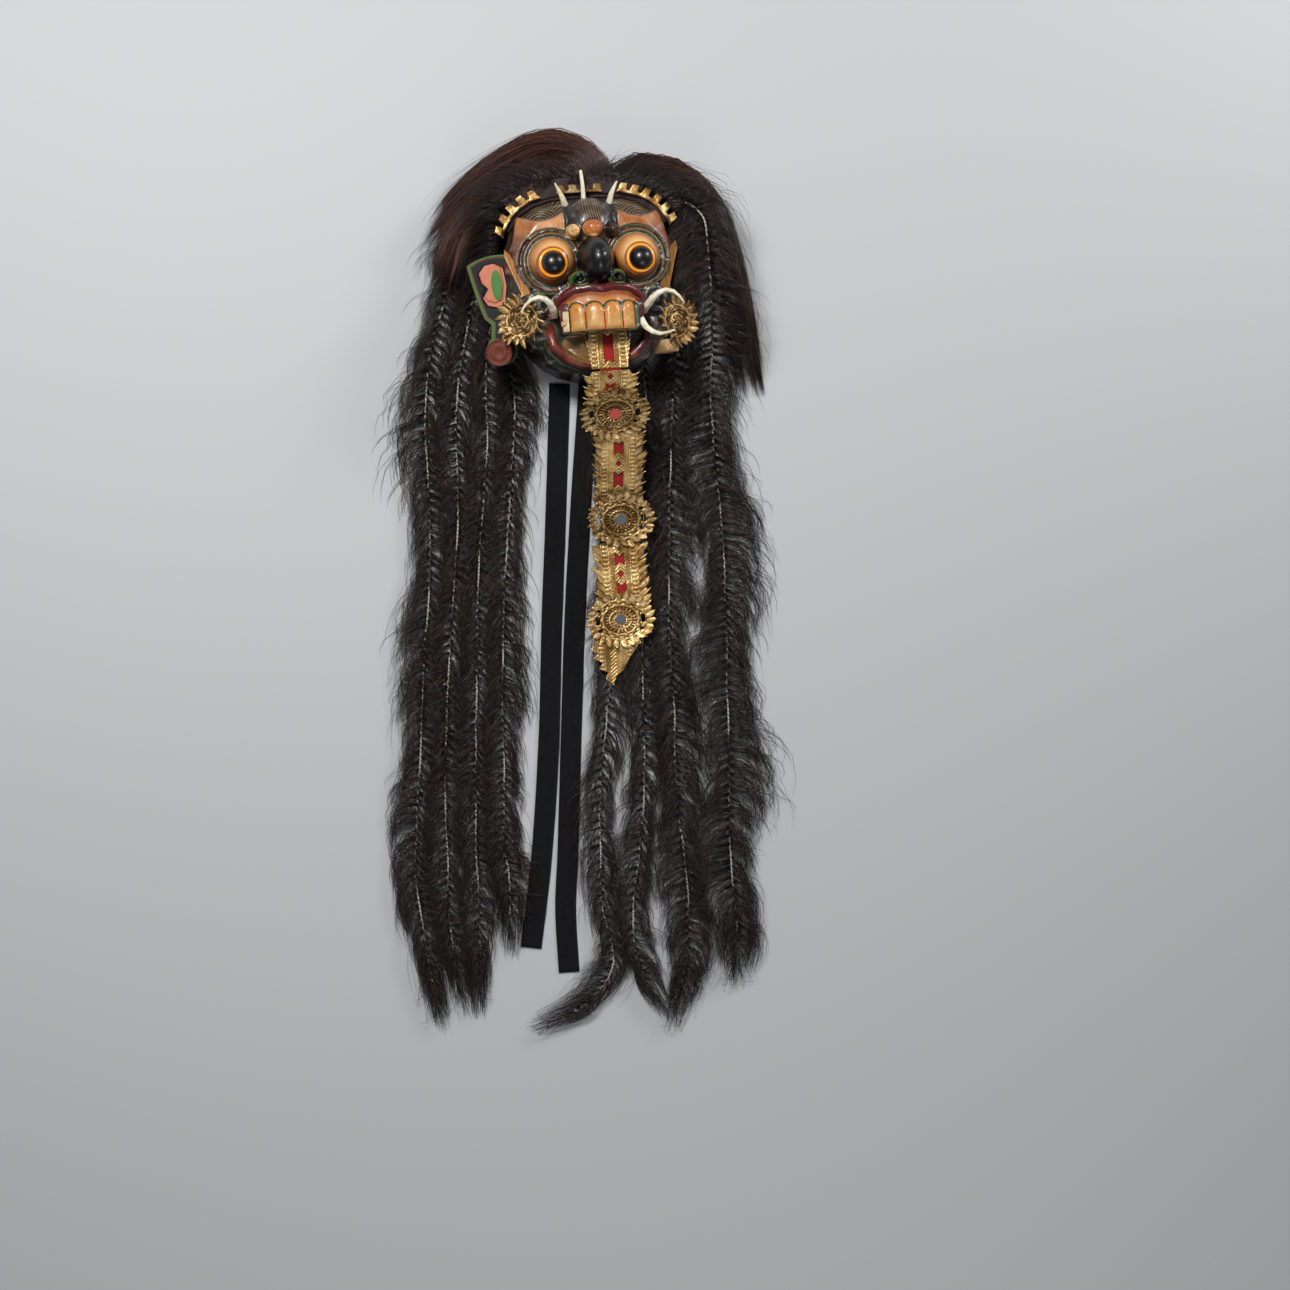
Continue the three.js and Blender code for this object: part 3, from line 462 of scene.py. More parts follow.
# %% Distances that tell each paint where to go
plate_d = to_polygon(side, y, PLATE)
inner_curve = (np.abs(x) < INSIDE_HALF + 2) & (z < INSIDE_TOP) & (facing[:, 2] < 0.35)
toward = facing[:, 0] * x / 118 + facing[:, 1] * (y - 133) / 118
nostril = np.hypot((side - NOSTRIL["x"]) / NOSTRIL["wide"], (y - NOSTRIL["y"]) / NOSTRIL["tall"])
stump_y = (y - BOSS["y"]) / BOSS["stump_squash"]
root_d = np.hypot((x - TONGUE_ROOT["x"]) / TONGUE_ROOT["wide"], (y - TONGUE_ROOT["y"]) / TONGUE_ROOT["tall"])
hatch = (np.abs(x - HATCH["x"]) < HATCH["wide"]) & (np.abs(y - HATCH["y"]) < HATCH["tall"]) & (z > 60)
FIELDS = {
    "eye_d": eye_d,
    "iris_d": iris_d,
    "height": z,
    "across": x,
    "along": y,
    "plate_d": np.minimum(plate_d, eye_d - 45.5),
    "nose_d": (1 - np.sqrt(nose_q)) * 27,
    "nostril": nostril,
    "ridge": ridges_of(head, points_of(head), normals_of(head)),
    "tooth_d": np.clip(tooth, -20, 20),
    "upper_d": to_path(x, y, UPPER_LIP),
    "above_lip": y - np.interp(x, *zip(*UPPER_LIP)),
    "lower_d": to_path(x, y, LOWER_LIP),
    "dome_d": 1.0 - np.hypot(x / DOME["wide"], (y - DOME["y"]) / DOME["tall"]),
    "stump_d": BOSS["stump_radius"] - np.hypot(x + BOSS["x"], stump_y),
    "boss_d": BOSS["radius"] - np.hypot(x - BOSS["x"], y - BOSS["y"]),
    "hatch": hatch * np.clip(np.cos((x + y) * 2.3) * 1.6, 0, 1),
    "bare": (inner_curve & (toward < 0.2)) | (z < RIM_Z),
    "tongue_root": (root_d < 1) & (z < TONGUE_ROOT["high"]) & (z > TONGUE_ROOT["low"]),
}
store(head, **FIELDS)

# %% Fine lines cut into the brow
from_arcs = side - BROW_ARCS["x"]
arc = np.hypot(from_arcs / BROW_ARCS["wide"], y - BROW_ARCS["y"])
spokes = np.arctan2(y - BROW_ARCS["y"], from_arcs) * 31
in_arcs = arc < BROW_ARCS["radius"] + 2 * wobble(points, 12, 8)
brow_lines = np.where(in_arcs, arc * 1.1, spokes) + 0.5 * wobble(points, 7, 12)
temple_lines = z * 0.9 - side * 0.7 + 2.2 * np.sin(y / 8)
grain = x * 1.15 + 1.6 * np.sin(y / 7) + 0.8 * wobble(points, 10, 10)
lines = np.where((side > 103) & (y < 226), temple_lines, brow_lines)
in_block = (side < 37) & (y > 186)
lined = ((y > 150) & (z > 48) & (eye_d > 47)) * np.where(in_block, 1 - smooth_step(side, 11, 21), 1.0)
store(head, line_d=np.where(in_block, grain, lines), lined=lined)

# %% [markdown]
# ## The head's paint
# The wood is primed with glossy black lacquer. Copper goes on the brow plates,
# cream and orange on the eyes and teeth, dark red on the lips, and thin lines of
# green, ochre and black follow the lids. Fine ochre lines are cut through the
# black on the brow. Layers are laid from the ground up, each with its own mask.

# %% Lacquer and copper
face = Paint("painted_carving")
cloud, fine = face.noise(26), face.noise(240)
across, along, height = (face.kept(name) for name in ("across", "along", "height"))
outer_wood = face.below(face.kept("bare"), 0.5)
colour = face.mix(cloud, "09090b", "22201e")
rubbed = face.times(face.above(along, 186, 10), face.above(cloud, 0.42, 0.2))
colour = face.coat(colour, "3a3734", rubbed, 0.35)
stripe = face.math("SINE", face.times(face.kept("line_d"), 1.55))
cut = face.times(face.above(stripe, 0.62, 0.3), face.kept("lined"))
colour = face.coat(colour, "9c7846", cut, 0.62)
colour = face.coat(colour, "9c9480", face.kept("hatch"), 0.6)
plate, high = face.kept("plate_d"), face.above(height, 60, 4)
copper = face.mix(face.above(cloud, 0.52, 0.14), "9c5622", "d08c44")
# Painted shade: the lower part of each plate is darker.
copper = face.coat(copper, "5a2410", face.below(along, 197, 22))
copper = face.coat(copper, "6b3015", fine, 0.35)
copper = face.coat(copper, "4a1f14", face.below(plate, 1.7, 0.9))
colour = face.coat(colour, copper, face.above(plate, 0.2), high)
# Pale grey on raised ridges: partly worn lacquer, partly a painted highlight.
ridge_wear_and_highlight = face.times(face.above(face.kept("ridge"), 5.5, 3.0), face.above(fine, 0.46, 0.12))
colour = face.coat(colour, "8e8270", ridge_wear_and_highlight, 0.55)

# %% Lids and eyes
eye_edge, iris_edge = face.kept("eye_d"), face.kept("iris_d")
outside = face.times(face.above(height, 88, 4), outer_wood)
LID_BANDS = [(33.0, 46.8, "141210"), (33.2, 34.6, "8d8576"), (35.8, 38.4, "3f4c33"),
             (38.8, 40.0, "9c6f48"), (41.0, 43.6, "4a2418"), (44.8, 46.0, "5f6f3c")]
for low, high_edge, code in LID_BANDS:
    colour = face.coat(colour, code, face.between(eye_edge, low, high_edge), outside)
# Painted shade on the round eyeball: darker towards its rim and much darker at its bottom.
shaded_eyeball = face.mix(face.above(eye_edge, 25, 8), "e2b274", "a8652e")
shaded_eyeball = face.coat(shaded_eyeball, "4a1a10", face.below(along, 149, 15), 0.9)
shaded_eyeball = face.coat(shaded_eyeball, "c08248", face.above(cloud, 0.5, 0.12), 0.3)
colour = face.coat(colour, shaded_eyeball, face.below(eye_edge, 33.2), outside)
IRIS_RINGS = [(23.2, "7a3a22"), (22.5, "c88a5c"), (21.8, "2a0f0a"), (20.8, "d9781a"), (20.0, "eea31c"),
              (18.0, "e0760f"), (16.6, "3a1206"), (16.1, "060608")]
for edge, code in IRIS_RINGS:
    colour = face.coat(colour, code, face.below(iris_edge, edge, 0.3), outside)

# %% Lips and gum
above_lip, upper, lower = (face.kept(name) for name in ("above_lip", "upper_d", "lower_d"))
in_gum = face.times(face.between(above_lip, -64, -4, 0.8), face.above(height, 142, 2), face.above(along, 49))
gum_and_side_shade = face.mix(face.above(above_lip, -12, 4), "b5753c", "8c4a24")
# Painted shade: the two sides of the gum block are dark red-brown.
gum_and_side_shade = face.coat(gum_and_side_shade, "431511", face.above(across, 48.4))
gum_and_side_shade = face.coat(gum_and_side_shade, "56201a", face.below(across, -48.4))
side_tooth = face.times(face.between(across, -57, -48.8), face.between(along, 52, 80, 1.2))
gum_and_side_shade = face.coat(gum_and_side_shade, face.mix(fine, "a88a5c", "e6d6b0"), side_tooth)
colour = face.coat(colour, gum_and_side_shade, in_gum)
lip = face.mix(cloud, "3a0605", "61140f")
colour = face.coat(colour, lip, face.below(upper, 8.6), face.above(above_lip, -6.5))
colour = face.coat(colour, "a0583c", face.between(above_lip, -8.4, -6.2, 0.5), face.below(upper, 10))
# A pale grey line along the top of the upper lip, a painted highlight.
colour = face.coat(colour, "857c72", face.between(upper, 7.4, 9.2), face.above(above_lip, 3))
low_lip = face.mix(face.above(cloud, 0.5, 0.1), "451412", "743226")
colour = face.coat(colour, low_lip, face.below(lower, 8.0), face.below(height, 134))
colour = face.coat(colour, "3f5a3a", face.between(lower, 8.4, 9.8), outside, face.below(along, 122))

# %% Teeth, nostrils and nose
tooth_edge = face.kept("tooth_d")
ivory = face.mix(face.above(along, 70, 16), "c59c5c", "c58136")
ivory = face.coat(ivory, "8f6a34", face.below(along, 57, 4), 0.5)
ivory = face.coat(ivory, "8a5c2c", face.above(fine, 0.5, 0.1), 0.3)
TOOTH_BANDS = [(-2.2, "1a2a22"), (-0.2, "5f8a6a"), (0.6, "16241c"), (1.1, "d27a22")]
for edge, code in TOOTH_BANDS:
    colour = face.coat(colour, code, face.above(tooth_edge, edge, 0.3), in_gum)
colour = face.coat(colour, ivory, face.above(tooth_edge, 2.6, 0.7), in_gum)
nostril_edge = face.kept("nostril")
near_nostril = face.times(face.above(height, 118, 3), outer_wood)
NOSTRIL_RINGS = [(2.1, "121110"), (1.72, "8a6a34"), (1.52, "2f6a26"), (1.24, "16341a"), (1.06, "030303")]
for edge, code in NOSTRIL_RINGS:
    colour = face.coat(colour, code, face.below(nostril_edge, edge, 0.05), near_nostril)
colour = face.coat(colour, "0a0a0c", face.above(face.kept("nose_d"), -0.5))

# %% Brow bosses, the gilt tongue root and bare wood
dome_edge, boss_edge, stump_edge = (face.kept(name) for name in ("dome_d", "boss_d", "stump_d"))
dome_paint = face.mix(face.above(cloud, 0.5, 0.1), "a85a2c", "cf8a52")
colour = face.coat(colour, "150f0c", face.above(dome_edge, -0.06, 0.03), high)
colour = face.coat(colour, dome_paint, face.above(dome_edge, 0.05, 0.04), high)
colour = face.coat(colour, "14100e", face.above(boss_edge, -1.6))
colour = face.coat(colour, "2e1a12", face.above(boss_edge, 1.0))
colour = face.coat(colour, "1a1410", face.above(stump_edge, -1.4))
broken = face.above(stump_edge, 0.2)
colour = face.coat(colour, face.mix(face.above(fine, 0.5, 0.12), "dcb57c", "a57a45"), broken)
colour = face.coat(colour, face.mix(fine, "452c12", "94703a"), face.kept("tongue_root"))
bare_wood = face.mix(face.noise(60, 4, (1, 0.25, 1)), "6b4c31", "a37d54")
colour = face.coat(colour, bare_wood, face.kept("bare"))
rough = face.math("ADD", face.times(face.noise(90), 0.22), 0.25)
for dull in (face.kept("bare"), broken):
    rough = face.math("MAXIMUM", rough, face.times(dull, 0.8))
face.bump(face.math("SUBTRACT", face.times(fine, 0.5), face.times(cut, 0.6)), 0.35, 0.0006)
face.surface(Coat_Weight=0.25, Coat_Roughness=0.18)
dressed(head, face.finish(colour, rough), "painted_wood", "mask_face")

# %% [markdown]
# ## Horn, tusks and pegs
# The tusks and brow horns are slips of polished horn that are glued into sockets.
# Their frame shapes are only rough bars, so a fine net rounds them. Where the
# lower tusk and the ear lobe broke off, raw wood is left.

# %% Polished horn
HORNS = ["brow_horn_left", "brow_horn_middle", "brow_horn_right", "tusk_upper_left", "tusk_upper_right",
         "tusk_lower_right"]
horn = Paint("polished_horn")
aged_horn = horn.mix(horn.above(horn.noise(70), 0.55, 0.2), "e9e1cb", "c6b48e")
horn.bump(horn.noise(300, 4, (1, 1, 0.3)), 0.2, 0.0004)
horn.surface(Roughness=0.32, Subsurface_Weight=0.1)
horn.finish(aged_horn)
for node in HORNS:
    dressed(skin_over(node, node + "_polished", 0.75, 5), horn.material, "ivory", node)

# %% Bare and broken wood
SPLINTER_LENGTH = 8
raw = Paint("raw_wood")
raw_colour = raw.mix(raw.noise(120, 4, (1, 1, 0.2)), "e0bd8c", "9b7043")
raw.bump(raw.noise(260, 5, (1, 1, 0.25)), 0.6, 0.001)
raw.surface(Roughness=0.8)
raw.finish(raw_colour)
for number, node in enumerate(("tusk_stump_left", "jaw_peg_right")):
    stump = skin_over(node, node + "_splintered", 0.8, 3)
    splinter = points_of(stump)
    near_end = splinter[:, 2] > splinter[:, 2].max() - SPLINTER_LENGTH
    splinter[:, 2] += 1.4 * wobble(splinter, 2.4, 20 + number) * near_end
    set_points(stump, splinter)
    dressed(stump, raw.material, "bare_wood", node)

# %% Copper temple spikes
slat = Paint("copper_slats")
slat_colour = slat.mix(slat.noise(60, 4, (3, 0.4, 1)), "3a1e0c", "a8712f")
slat.bump(slat.noise(150, 4, (3, 0.3, 1)), 0.4, 0.0006)
slat.surface(Roughness=0.4, Metallic=0.4)
slat.finish(slat_colour)
for node in ("temple_spike_left", "temple_spike_right"):
    dressed(skin_over(node, node + "_slat", 0.8, 4), slat.material, "copper_paint", node)

# %% [markdown]
# ## Ears and plug
# The ears are flat boards with a green rim, a brown line, a black ground and a
# salmon curl with a green leaf in it. The board is sunk a little inside its rim,
# and the curl stands up, so the painted edges follow real steps. The right ear
# lies in the dark under the hair, so painted shade darkens its paint.

# %% Ear boards
EAR_EDGE = [(110, 112), (110, 174), (129, 176.8), (145, 176), (158, 172), (173, 163), (166.8, 134.8),
            (160, 108.6), (153, 86)]
EAR_LOBE = [(144, 78), (146, 52), (117, 52), (119, 108)]
EAR_TORN = [(139, 88), (131, 97), (125, 92), (119, 108)]
KIDNEY = [(-123.4, 106), (-134.6, 101.5), (-147, 105), (-153, 116), (-145.5, 128), (-153.5, 137),
          (-156.5, 151), (-148, 161.5), (-134.6, 163.5), (-123, 156), (-119.5, 131)]
LOBE = dict(x=-131, y=42, radius=22)
EAR_LEAF = dict(x=133, y=132, wide=7.6, tall=22, lean=0.35)
EAR_BANDS = [(5.9, 0.4, "7a4630"), (4.3, 0.4, "3f6a33"), (1.6, 0.8, "56603a")]
ear_paint = Paint("painted_ear")
ear_colour = ear_paint.mix(ear_paint.noise(60), "0a0b0e", "16171a")
for edge, soft, code in EAR_BANDS:
    ear_colour = ear_paint.coat(ear_colour, code, ear_paint.below(ear_paint.kept("rim_d"), edge, soft))
salmon = ear_paint.mix(ear_paint.noise(90), "d0886a", "b8674c")
ear_colour = ear_paint.coat(ear_colour, salmon, ear_paint.above(ear_paint.kept("curl_d"), 0.3))
ear_colour = ear_paint.coat(ear_colour, "4c7a3a", ear_paint.above(ear_paint.kept("leaf_d"), 0.0))
# Painted shade: the ear that lies under the hair is darkened towards near black.
ear_colour = ear_paint.coat(ear_colour, "0d0a09", ear_paint.kept("grime"))
ear_paint.bump(ear_paint.noise(220), 0.25, 0.0006)
ear_paint.surface(Roughness=0.58, Specular_IOR_Level=0.2)
ear_paint.finish(ear_colour)


def painted_ear(node, sign, lower_end, grime):
    """One ear board with its sunk field and raised curl; sign is -1 on the left."""
    ear = skin_over(node, node + "_board", 0.95, 2)
    ear_points = points_of(ear)
    ex, ey = sign * ear_points[:, 0], ear_points[:, 1]
    up = normals_of(ear)[:, 2] > 0.5
    edge = to_polygon(ex, ey, EAR_EDGE + lower_end)
    if sign < 0:
        lobe_d = LOBE["radius"] - np.hypot(ear_points[:, 0] - LOBE["x"], ey - LOBE["y"])
        edge = np.maximum(edge, lobe_d)
    edge = np.where((ex < 118) & (ey > 100), 20, edge)
    curl = to_polygon(-ex, ey, KIDNEY)
    from_leaf = ex - EAR_LEAF["x"]
    leaf_y = ey - EAR_LEAF["y"] - EAR_LEAF["lean"] * from_leaf
    leaf = 1 - np.hypot(from_leaf / EAR_LEAF["wide"], leaf_y / EAR_LEAF["tall"])
    ear_points[:, 2] -= up * 1.3 * smooth_step(edge, 4.0, 5.4) * (1 - smooth_step(curl, -1.5, 0))
    ear_points[:, 2] += up * 0.9 * smooth_step(leaf, 0, 0.3)
    set_points(ear, ear_points)
    store(ear, rim_d=np.abs(edge), curl_d=curl, leaf_d=leaf * 6, grime=grime)
    return dressed(ear, ear_paint.material, "ear_paint", node)


# The last number is painted shade; the right ear lies under the hair.
painted_ear("ear_left", -1, EAR_LOBE, 0.0)
painted_ear("ear_right", 1, EAR_TORN, 0.8)

# %% [markdown]
# ## The ear plug
# A turned wooden drum goes through the left lobe. It starts as a cylinder, its
# front end is inset and sunk, and a bevel rounds the rim. A row of thin rings is
# turned into the front face.

# %% Turned plug
PLUG = dict(radius=18.5, length=62, at=(-133, 40, 70), lean=(8, -14))
PLUG_RINGS = [(1.6, 0.0), (0.8, -1.1), (4.2, 0.0), (0.6, 0.7), (4.2, 0.0), (0.6, -0.6)]
bpy.ops.object.select_all(action="DESELECT")
bpy.ops.mesh.primitive_cylinder_add(vertices=72, radius=PLUG["radius"] * MM, depth=PLUG["length"] * MM)
plug = bpy.context.active_object
plug.name = "turned_ear_plug"
bpy.ops.object.mode_set(mode="EDIT")
bpy.ops.mesh.select_all(action="DESELECT")
bpy.ops.object.mode_set(mode="OBJECT")
for polygon in plug.data.polygons:
    polygon.select = polygon.normal.z > 0.9
bpy.ops.object.mode_set(mode="EDIT")
for inset, sink in PLUG_RINGS:
    bpy.ops.mesh.inset(thickness=inset * MM, depth=sink * MM)
bpy.ops.object.mode_set(mode="OBJECT")
applied(plug, "BEVEL", width=1.1 * MM, segments=2, limit_method="ANGLE")
turned = points_of(plug)
store(plug, from_front=PLUG["length"] / 2 - turned[:, 2])
share = 0.93 + 0.07 * turned[:, 2] / (PLUG["length"] / 2)
turned[:, :2] *= share[:, None]
lean_x, lean_y = (math.radians(angle) for angle in PLUG["lean"])
lean = Matrix.Rotation(lean_y, 3, "Y") @ Matrix.Rotation(lean_x, 3, "X")
set_points(plug, turned @ np.array(lean).T + np.array(PLUG["at"]))
only(plug)
bpy.ops.object.shade_smooth_by_angle(angle=math.radians(35))
worn_plug = Paint("worn_plug")
from_front = worn_plug.kept("from_front")
plug_colour = worn_plug.mix(worn_plug.noise(110, 4), "431409", "7c3c28")
plug_colour = worn_plug.coat(plug_colour, "4a3c33", worn_plug.above(from_front, 2.5, 1))
plug_colour = worn_plug.coat(plug_colour, "3f6a33", worn_plug.between(from_front, 26, 34, 1))
worn_plug.bump(worn_plug.noise(200, 5), 0.4, 0.0006)
worn_plug.surface(Roughness=0.5, Specular_IOR_Level=0.3)
dressed(plug, worn_plug.finish(plug_colour), "plug_paint", "ear_plug_left")
print("plug faces:", len(plug.data.polygons))

# %% [markdown]
# ## Punched and gilded leather
# The tongue is thin rawhide that is cut into flames, punched from behind with
# rows of dots and ribs, and gilded. A fine net over each cut shape is pushed up
# and down by the punch marks. The stored height also drives the colour: the low
# places get painted shade, and the high places a painted highlight.

# %% Gilt finish
gilt = Paint("punched_gilt")
relief, darkened = gilt.kept("relief"), gilt.kept("age")
speck = gilt.noise(420, 3)
gold = gilt.mix(gilt.above(gilt.noise(48, 3), 0.5, 0.14), "aa7d3c", "e8c07c")
# Painted shade darkens the gilt of the cheek rosettes and of the two upper tongue rosettes; the middle brow
# tabs are darker too.
gold = gilt.coat(gold, "5f421f", darkened)
# Painted shade: the low punch marks turn dark brown.
gold = gilt.mix(gilt.above(relief, 0.40, 0.34), "2e1b08", gold)
# Painted highlight: the high punch marks turn pale gold, less so where the gilt is darkened.
painted_highlight = gilt.times(gilt.above(relief, 0.95, 0.35), gilt.math("SUBTRACT", 0.75, gilt.times(darkened, 0.6)))
gold = gilt.coat(gold, "ffeabc", painted_highlight)
gold = gilt.coat(gold, "6e4e28", gilt.above(speck, 0.6, 0.06), 0.5)
gilt.bump(gilt.math("ADD", speck, gilt.times(gilt.noise(160), 1.5)), 0.5, 0.0011)
gilt.surface(Metallic=0.72)
gilt.finish(gold, gilt.math("ADD", gilt.times(gilt.noise(200), 0.3), 0.24))


def punch(piece, marks, out_axis, depth):
    """Pushes the punch marks (0 to 1 for each point) out along one direction and stores them."""
    set_points(piece, points_of(piece) + np.outer(depth * (marks - 0.4), out_axis))
    store(piece, relief=marks)


def plane_axes(slope):
    """The direction along the tongue and the one out of it, for a slope in radians."""
    return np.array([0, math.cos(slope), math.sin(slope)]), np.array([0, -math.sin(slope), math.cos(slope)])


# %% Leaves and tabs
LEAF_STEPS, LEAF_ROWS, LEAF_THICK = 7, (-1, -0.5, 0, 0.5, 1), 0.7
# Heights across a leaf from edge to ridge; the gilt turns them into painted shade on the edges and a painted
# highlight on the ridge.
LEAF_RELIEF = [0.42, 0.8, 1.1, 0.8, 0.42]
LEAF_SPANS = [(0.74, 1.26), (0.85, 1.25), (0.3, 1.9), (0.2, 1.9)]


def leaf_mesh(length, width, lift, curl):
    """Points and faces of one leaf that lies along +X, ridged in the middle, in millimetres."""
    made, faces = [], []
    for layer in (1, 0):
        for i in range(LEAF_STEPS):
            t = i / (LEAF_STEPS - 1)
            wide = width * math.sin(math.pi * min(1, 0.18 + 0.82 * t)) ** 0.8 if t < 1 else 0.02
            for row in LEAF_ROWS:
                ridge = 0.6 * (1 - abs(row)) + 0.2 * math.cos(row * 6)
                height = lift * t ** 1.6 + ridge + LEAF_THICK * layer
                made.append((length * t, wide * row + curl * t * t, height))
    count = len(LEAF_ROWS)
    half = LEAF_STEPS * count
    for i in range(LEAF_STEPS - 1):
        for j in range(count - 1):
            a = i * count + j
            faces.append((a, a + count, a + count + 1, a + 1))
            faces.append((half + a, half + a + 1, half + a + count + 1, half + a + count))
    for i in range(LEAF_STEPS - 1):
        a, b = i * count, i * count + count - 1
        faces.append((a, half + a, half + a + count, a + count))
        faces.append((b, b + count, half + b + count, half + b))
    for j in range(count - 1):
        faces.append((j, j + 1, half + j + 1, half + j))
        a = (LEAF_STEPS - 1) * count + j
        faces.append((a, half + a, half + a + 1, a + 1))
    return np.array(made, float), faces


def leaf_cluster(name, leaves, to_place, seed, shade=1.0):
    """One mesh of many leaves; each is (x, y, direction, length, width, lift, twist)."""
    rng = np.random.default_rng(seed)
    all_points, all_faces, all_relief, start = [], [], [], 0
    for px, py, turn, length, width, lift, twist in leaves:
        turn += rng.normal(0, 0.12)
        size, thin, rise, bend = (rng.uniform(*span) for span in LEAF_SPANS)
        made, faces = leaf_mesh(length * size, width * thin, lift * rise, twist * bend)
        c, s = math.cos(turn), math.sin(turn)
        across, along = made[:, 0] * c - made[:, 1] * s, made[:, 0] * s + made[:, 1] * c
        all_points.append(np.column_stack([across + px, along + py, made[:, 2]]))
        all_faces += [tuple(start + k for k in f) for f in faces]
        all_relief.append(np.tile(LEAF_RELIEF, len(made) // 5) * rng.uniform(0.6, 1.15) * shade)
        start += len(made)
    mesh = bpy.data.meshes.new(name)
    mesh.from_pydata((to_place(np.vstack(all_points)) * MM).tolist(), [], all_faces)
    cluster = linked(name, mesh)
    whole_mesh(cluster, bpy.ops.mesh.normals_make_consistent, inside=False)
    store(cluster, relief=np.concatenate(all_relief))
    bpy.ops.object.shade_smooth_by_angle(angle=math.radians(50))
    return cluster


def ring_of(radius, count, length, width, lift, twist):
    """Leaves that stand round a circle and point away from its middle."""
    turns = [2 * math.pi * (i + 0.5 * (radius > 20)) / count for i in range(count)]
    return [(radius * math.cos(a), radius * math.sin(a), a, length, width, lift, twist) for a in turns]


def on_plane(centre, across_axis, along_axis, out_axis, squash=1.0, lift=0.0):
    """A function that lays flat points on a plane in space."""

    def place(points):
        spread = np.outer(points[:, 0], across_axis) + np.outer(points[:, 1] * squash, along_axis)
        return centre + spread + np.outer(points[:, 2] + lift, out_axis)

    return place


def joined(piece, extra):
    """Joins a second mesh into the first."""
    only(piece)
    extra.select_set(True)
    bpy.ops.object.join()


# %% Tongue panels
TONGUE = dict(floor=23, mouth=132, chin=0, foot=-190, bend=-385, tip=-441, tip_z=18.5)
CHIN_SLOPE = math.atan2(TONGUE["mouth"] - TONGUE["floor"], TONGUE["chin"] - TONGUE["foot"])
BEND = dict(above=-158, below=-262, clear=4.3)
bend_share = (TONGUE["chin"] - BEND["above"]) / (TONGUE["chin"] - TONGUE["foot"])
BEND_HIGH = TONGUE["mouth"] + (TONGUE["floor"] - TONGUE["mouth"]) * bend_share + BEND["clear"]
BEND_SLOPE = math.atan2(BEND_HIGH - TONGUE["floor"] - BEND["clear"], BEND["above"] - BEND["below"])
TIP_SLOPE = math.atan2(TONGUE["floor"] - TONGUE["tip_z"], TONGUE["bend"] - TONGUE["tip"])
PANELS = {
    "tongue_panel_1": (0.0, 9, 26, None),
    "tongue_panel_2": (CHIN_SLOPE, 10, 27, (TONGUE["mouth"], -50, -8)),
    "tongue_panel_3": (CHIN_SLOPE, 23, 28, (TONGUE["mouth"], -204, -100)),
    "tongue_panel_4": (0.0, 20, 29, (TONGUE["floor"], -336, -246)),
    "tongue_tip": (TIP_SLOPE, 4, 30, None),
}
PUNCHED = dict(dash_row=20.5, dash_step=6.1, seams=(15.5, 25.5), field=14, ribs=8)
FLAME = dict(lean=math.radians(58), length=15.5, width=4.9, lift=3.4, twist=4)
LEAF_STEP, PANEL_TOP, ACROSS = 10.5, 3.0, np.array([1.0, 0, 0])
for number, (node, (slope, middle, half, edge)) in enumerate(PANELS.items()):
    panel = skin_over(node, node + "_punched", 0.82, 1)
    spots = points_of(panel)
    along_axis, out_axis = plane_axes(slope)
    u = spots[:, 0] - middle
    v = spots @ along_axis
    out = np.abs(u)
    dots = smooth_step(np.cos(u * 1.5) * np.cos(v * 1.5), 0.35, 0.8)
    dashes = smooth_step(np.cos(v * 2 * math.pi / PUNCHED["dash_step"]), 0.1, 0.7)
    dashes *= 1 - smooth_step(np.abs(out - PUNCHED["dash_row"]), 2.8, 3.8)
    to_seam = np.min([np.abs(out - seam) for seam in PUNCHED["seams"]], axis=0)
    seams = 0.6 * (1 - smooth_step(to_seam, 0.4, 1.2))
    inner = 0.6 * dots * (out < PUNCHED["field"]) * (out > PUNCHED["ribs"])
    middle_ribs = 0.8 * smooth_step(np.cos((v + 0.9 * out) * 1.25), 0.2, 0.8) * (out < PUNCHED["ribs"])
    veins = smooth_step(out, half - 2, half + 3) * np.clip(np.cos(v * 1.1 - out * 0.8) + 0.3, 0, 1)
    low_field = 0.42 + 0.12 * wobble(spots, 6, 40 + number)
    marks = low_field + 0.58 * np.maximum.reduce([dashes, seams, inner, middle_ribs, veins])
    punch(panel, marks, out_axis, 1.5)
    curl = points_of(panel)
    lift = 4.2 * smooth_step(out, half - 2, half + 12) + 1.1 * wobble(curl, 15, 31)
    set_points(panel, curl + np.outer(lift, out_axis))
    if edge:
        plane_z, bottom, top = edge
        leaves = [(middle + sign * (half - 3), row, math.pi / 2 - sign * FLAME["lean"], FLAME["length"],
                   FLAME["width"], FLAME["lift"], sign * FLAME["twist"])
                  for row in np.arange(bottom, top, LEAF_STEP) for sign in (-1, 1)]
        base = np.array([0, 0, plane_z]) + out_axis * PANEL_TOP
        place = on_plane(base, ACROSS, along_axis, out_axis)
        joined(panel, leaf_cluster(node + "_leaves", leaves, place, 35 + number, shade=0.95))
    dressed(panel, gilt.material, "gilt_leather", node)
    print(node, "faces", len(panel.data.polygons))

# %% [markdown]
# ## Flame rosettes
# Every plate on the tongue is punched with rings of short tabs round a mirror.
# One tab is made from a grid, bent into a ridge with a lifted tip, and copied
# round in rings. The plates are a little wider than they are tall, so the rings
# are pressed to the same oval.

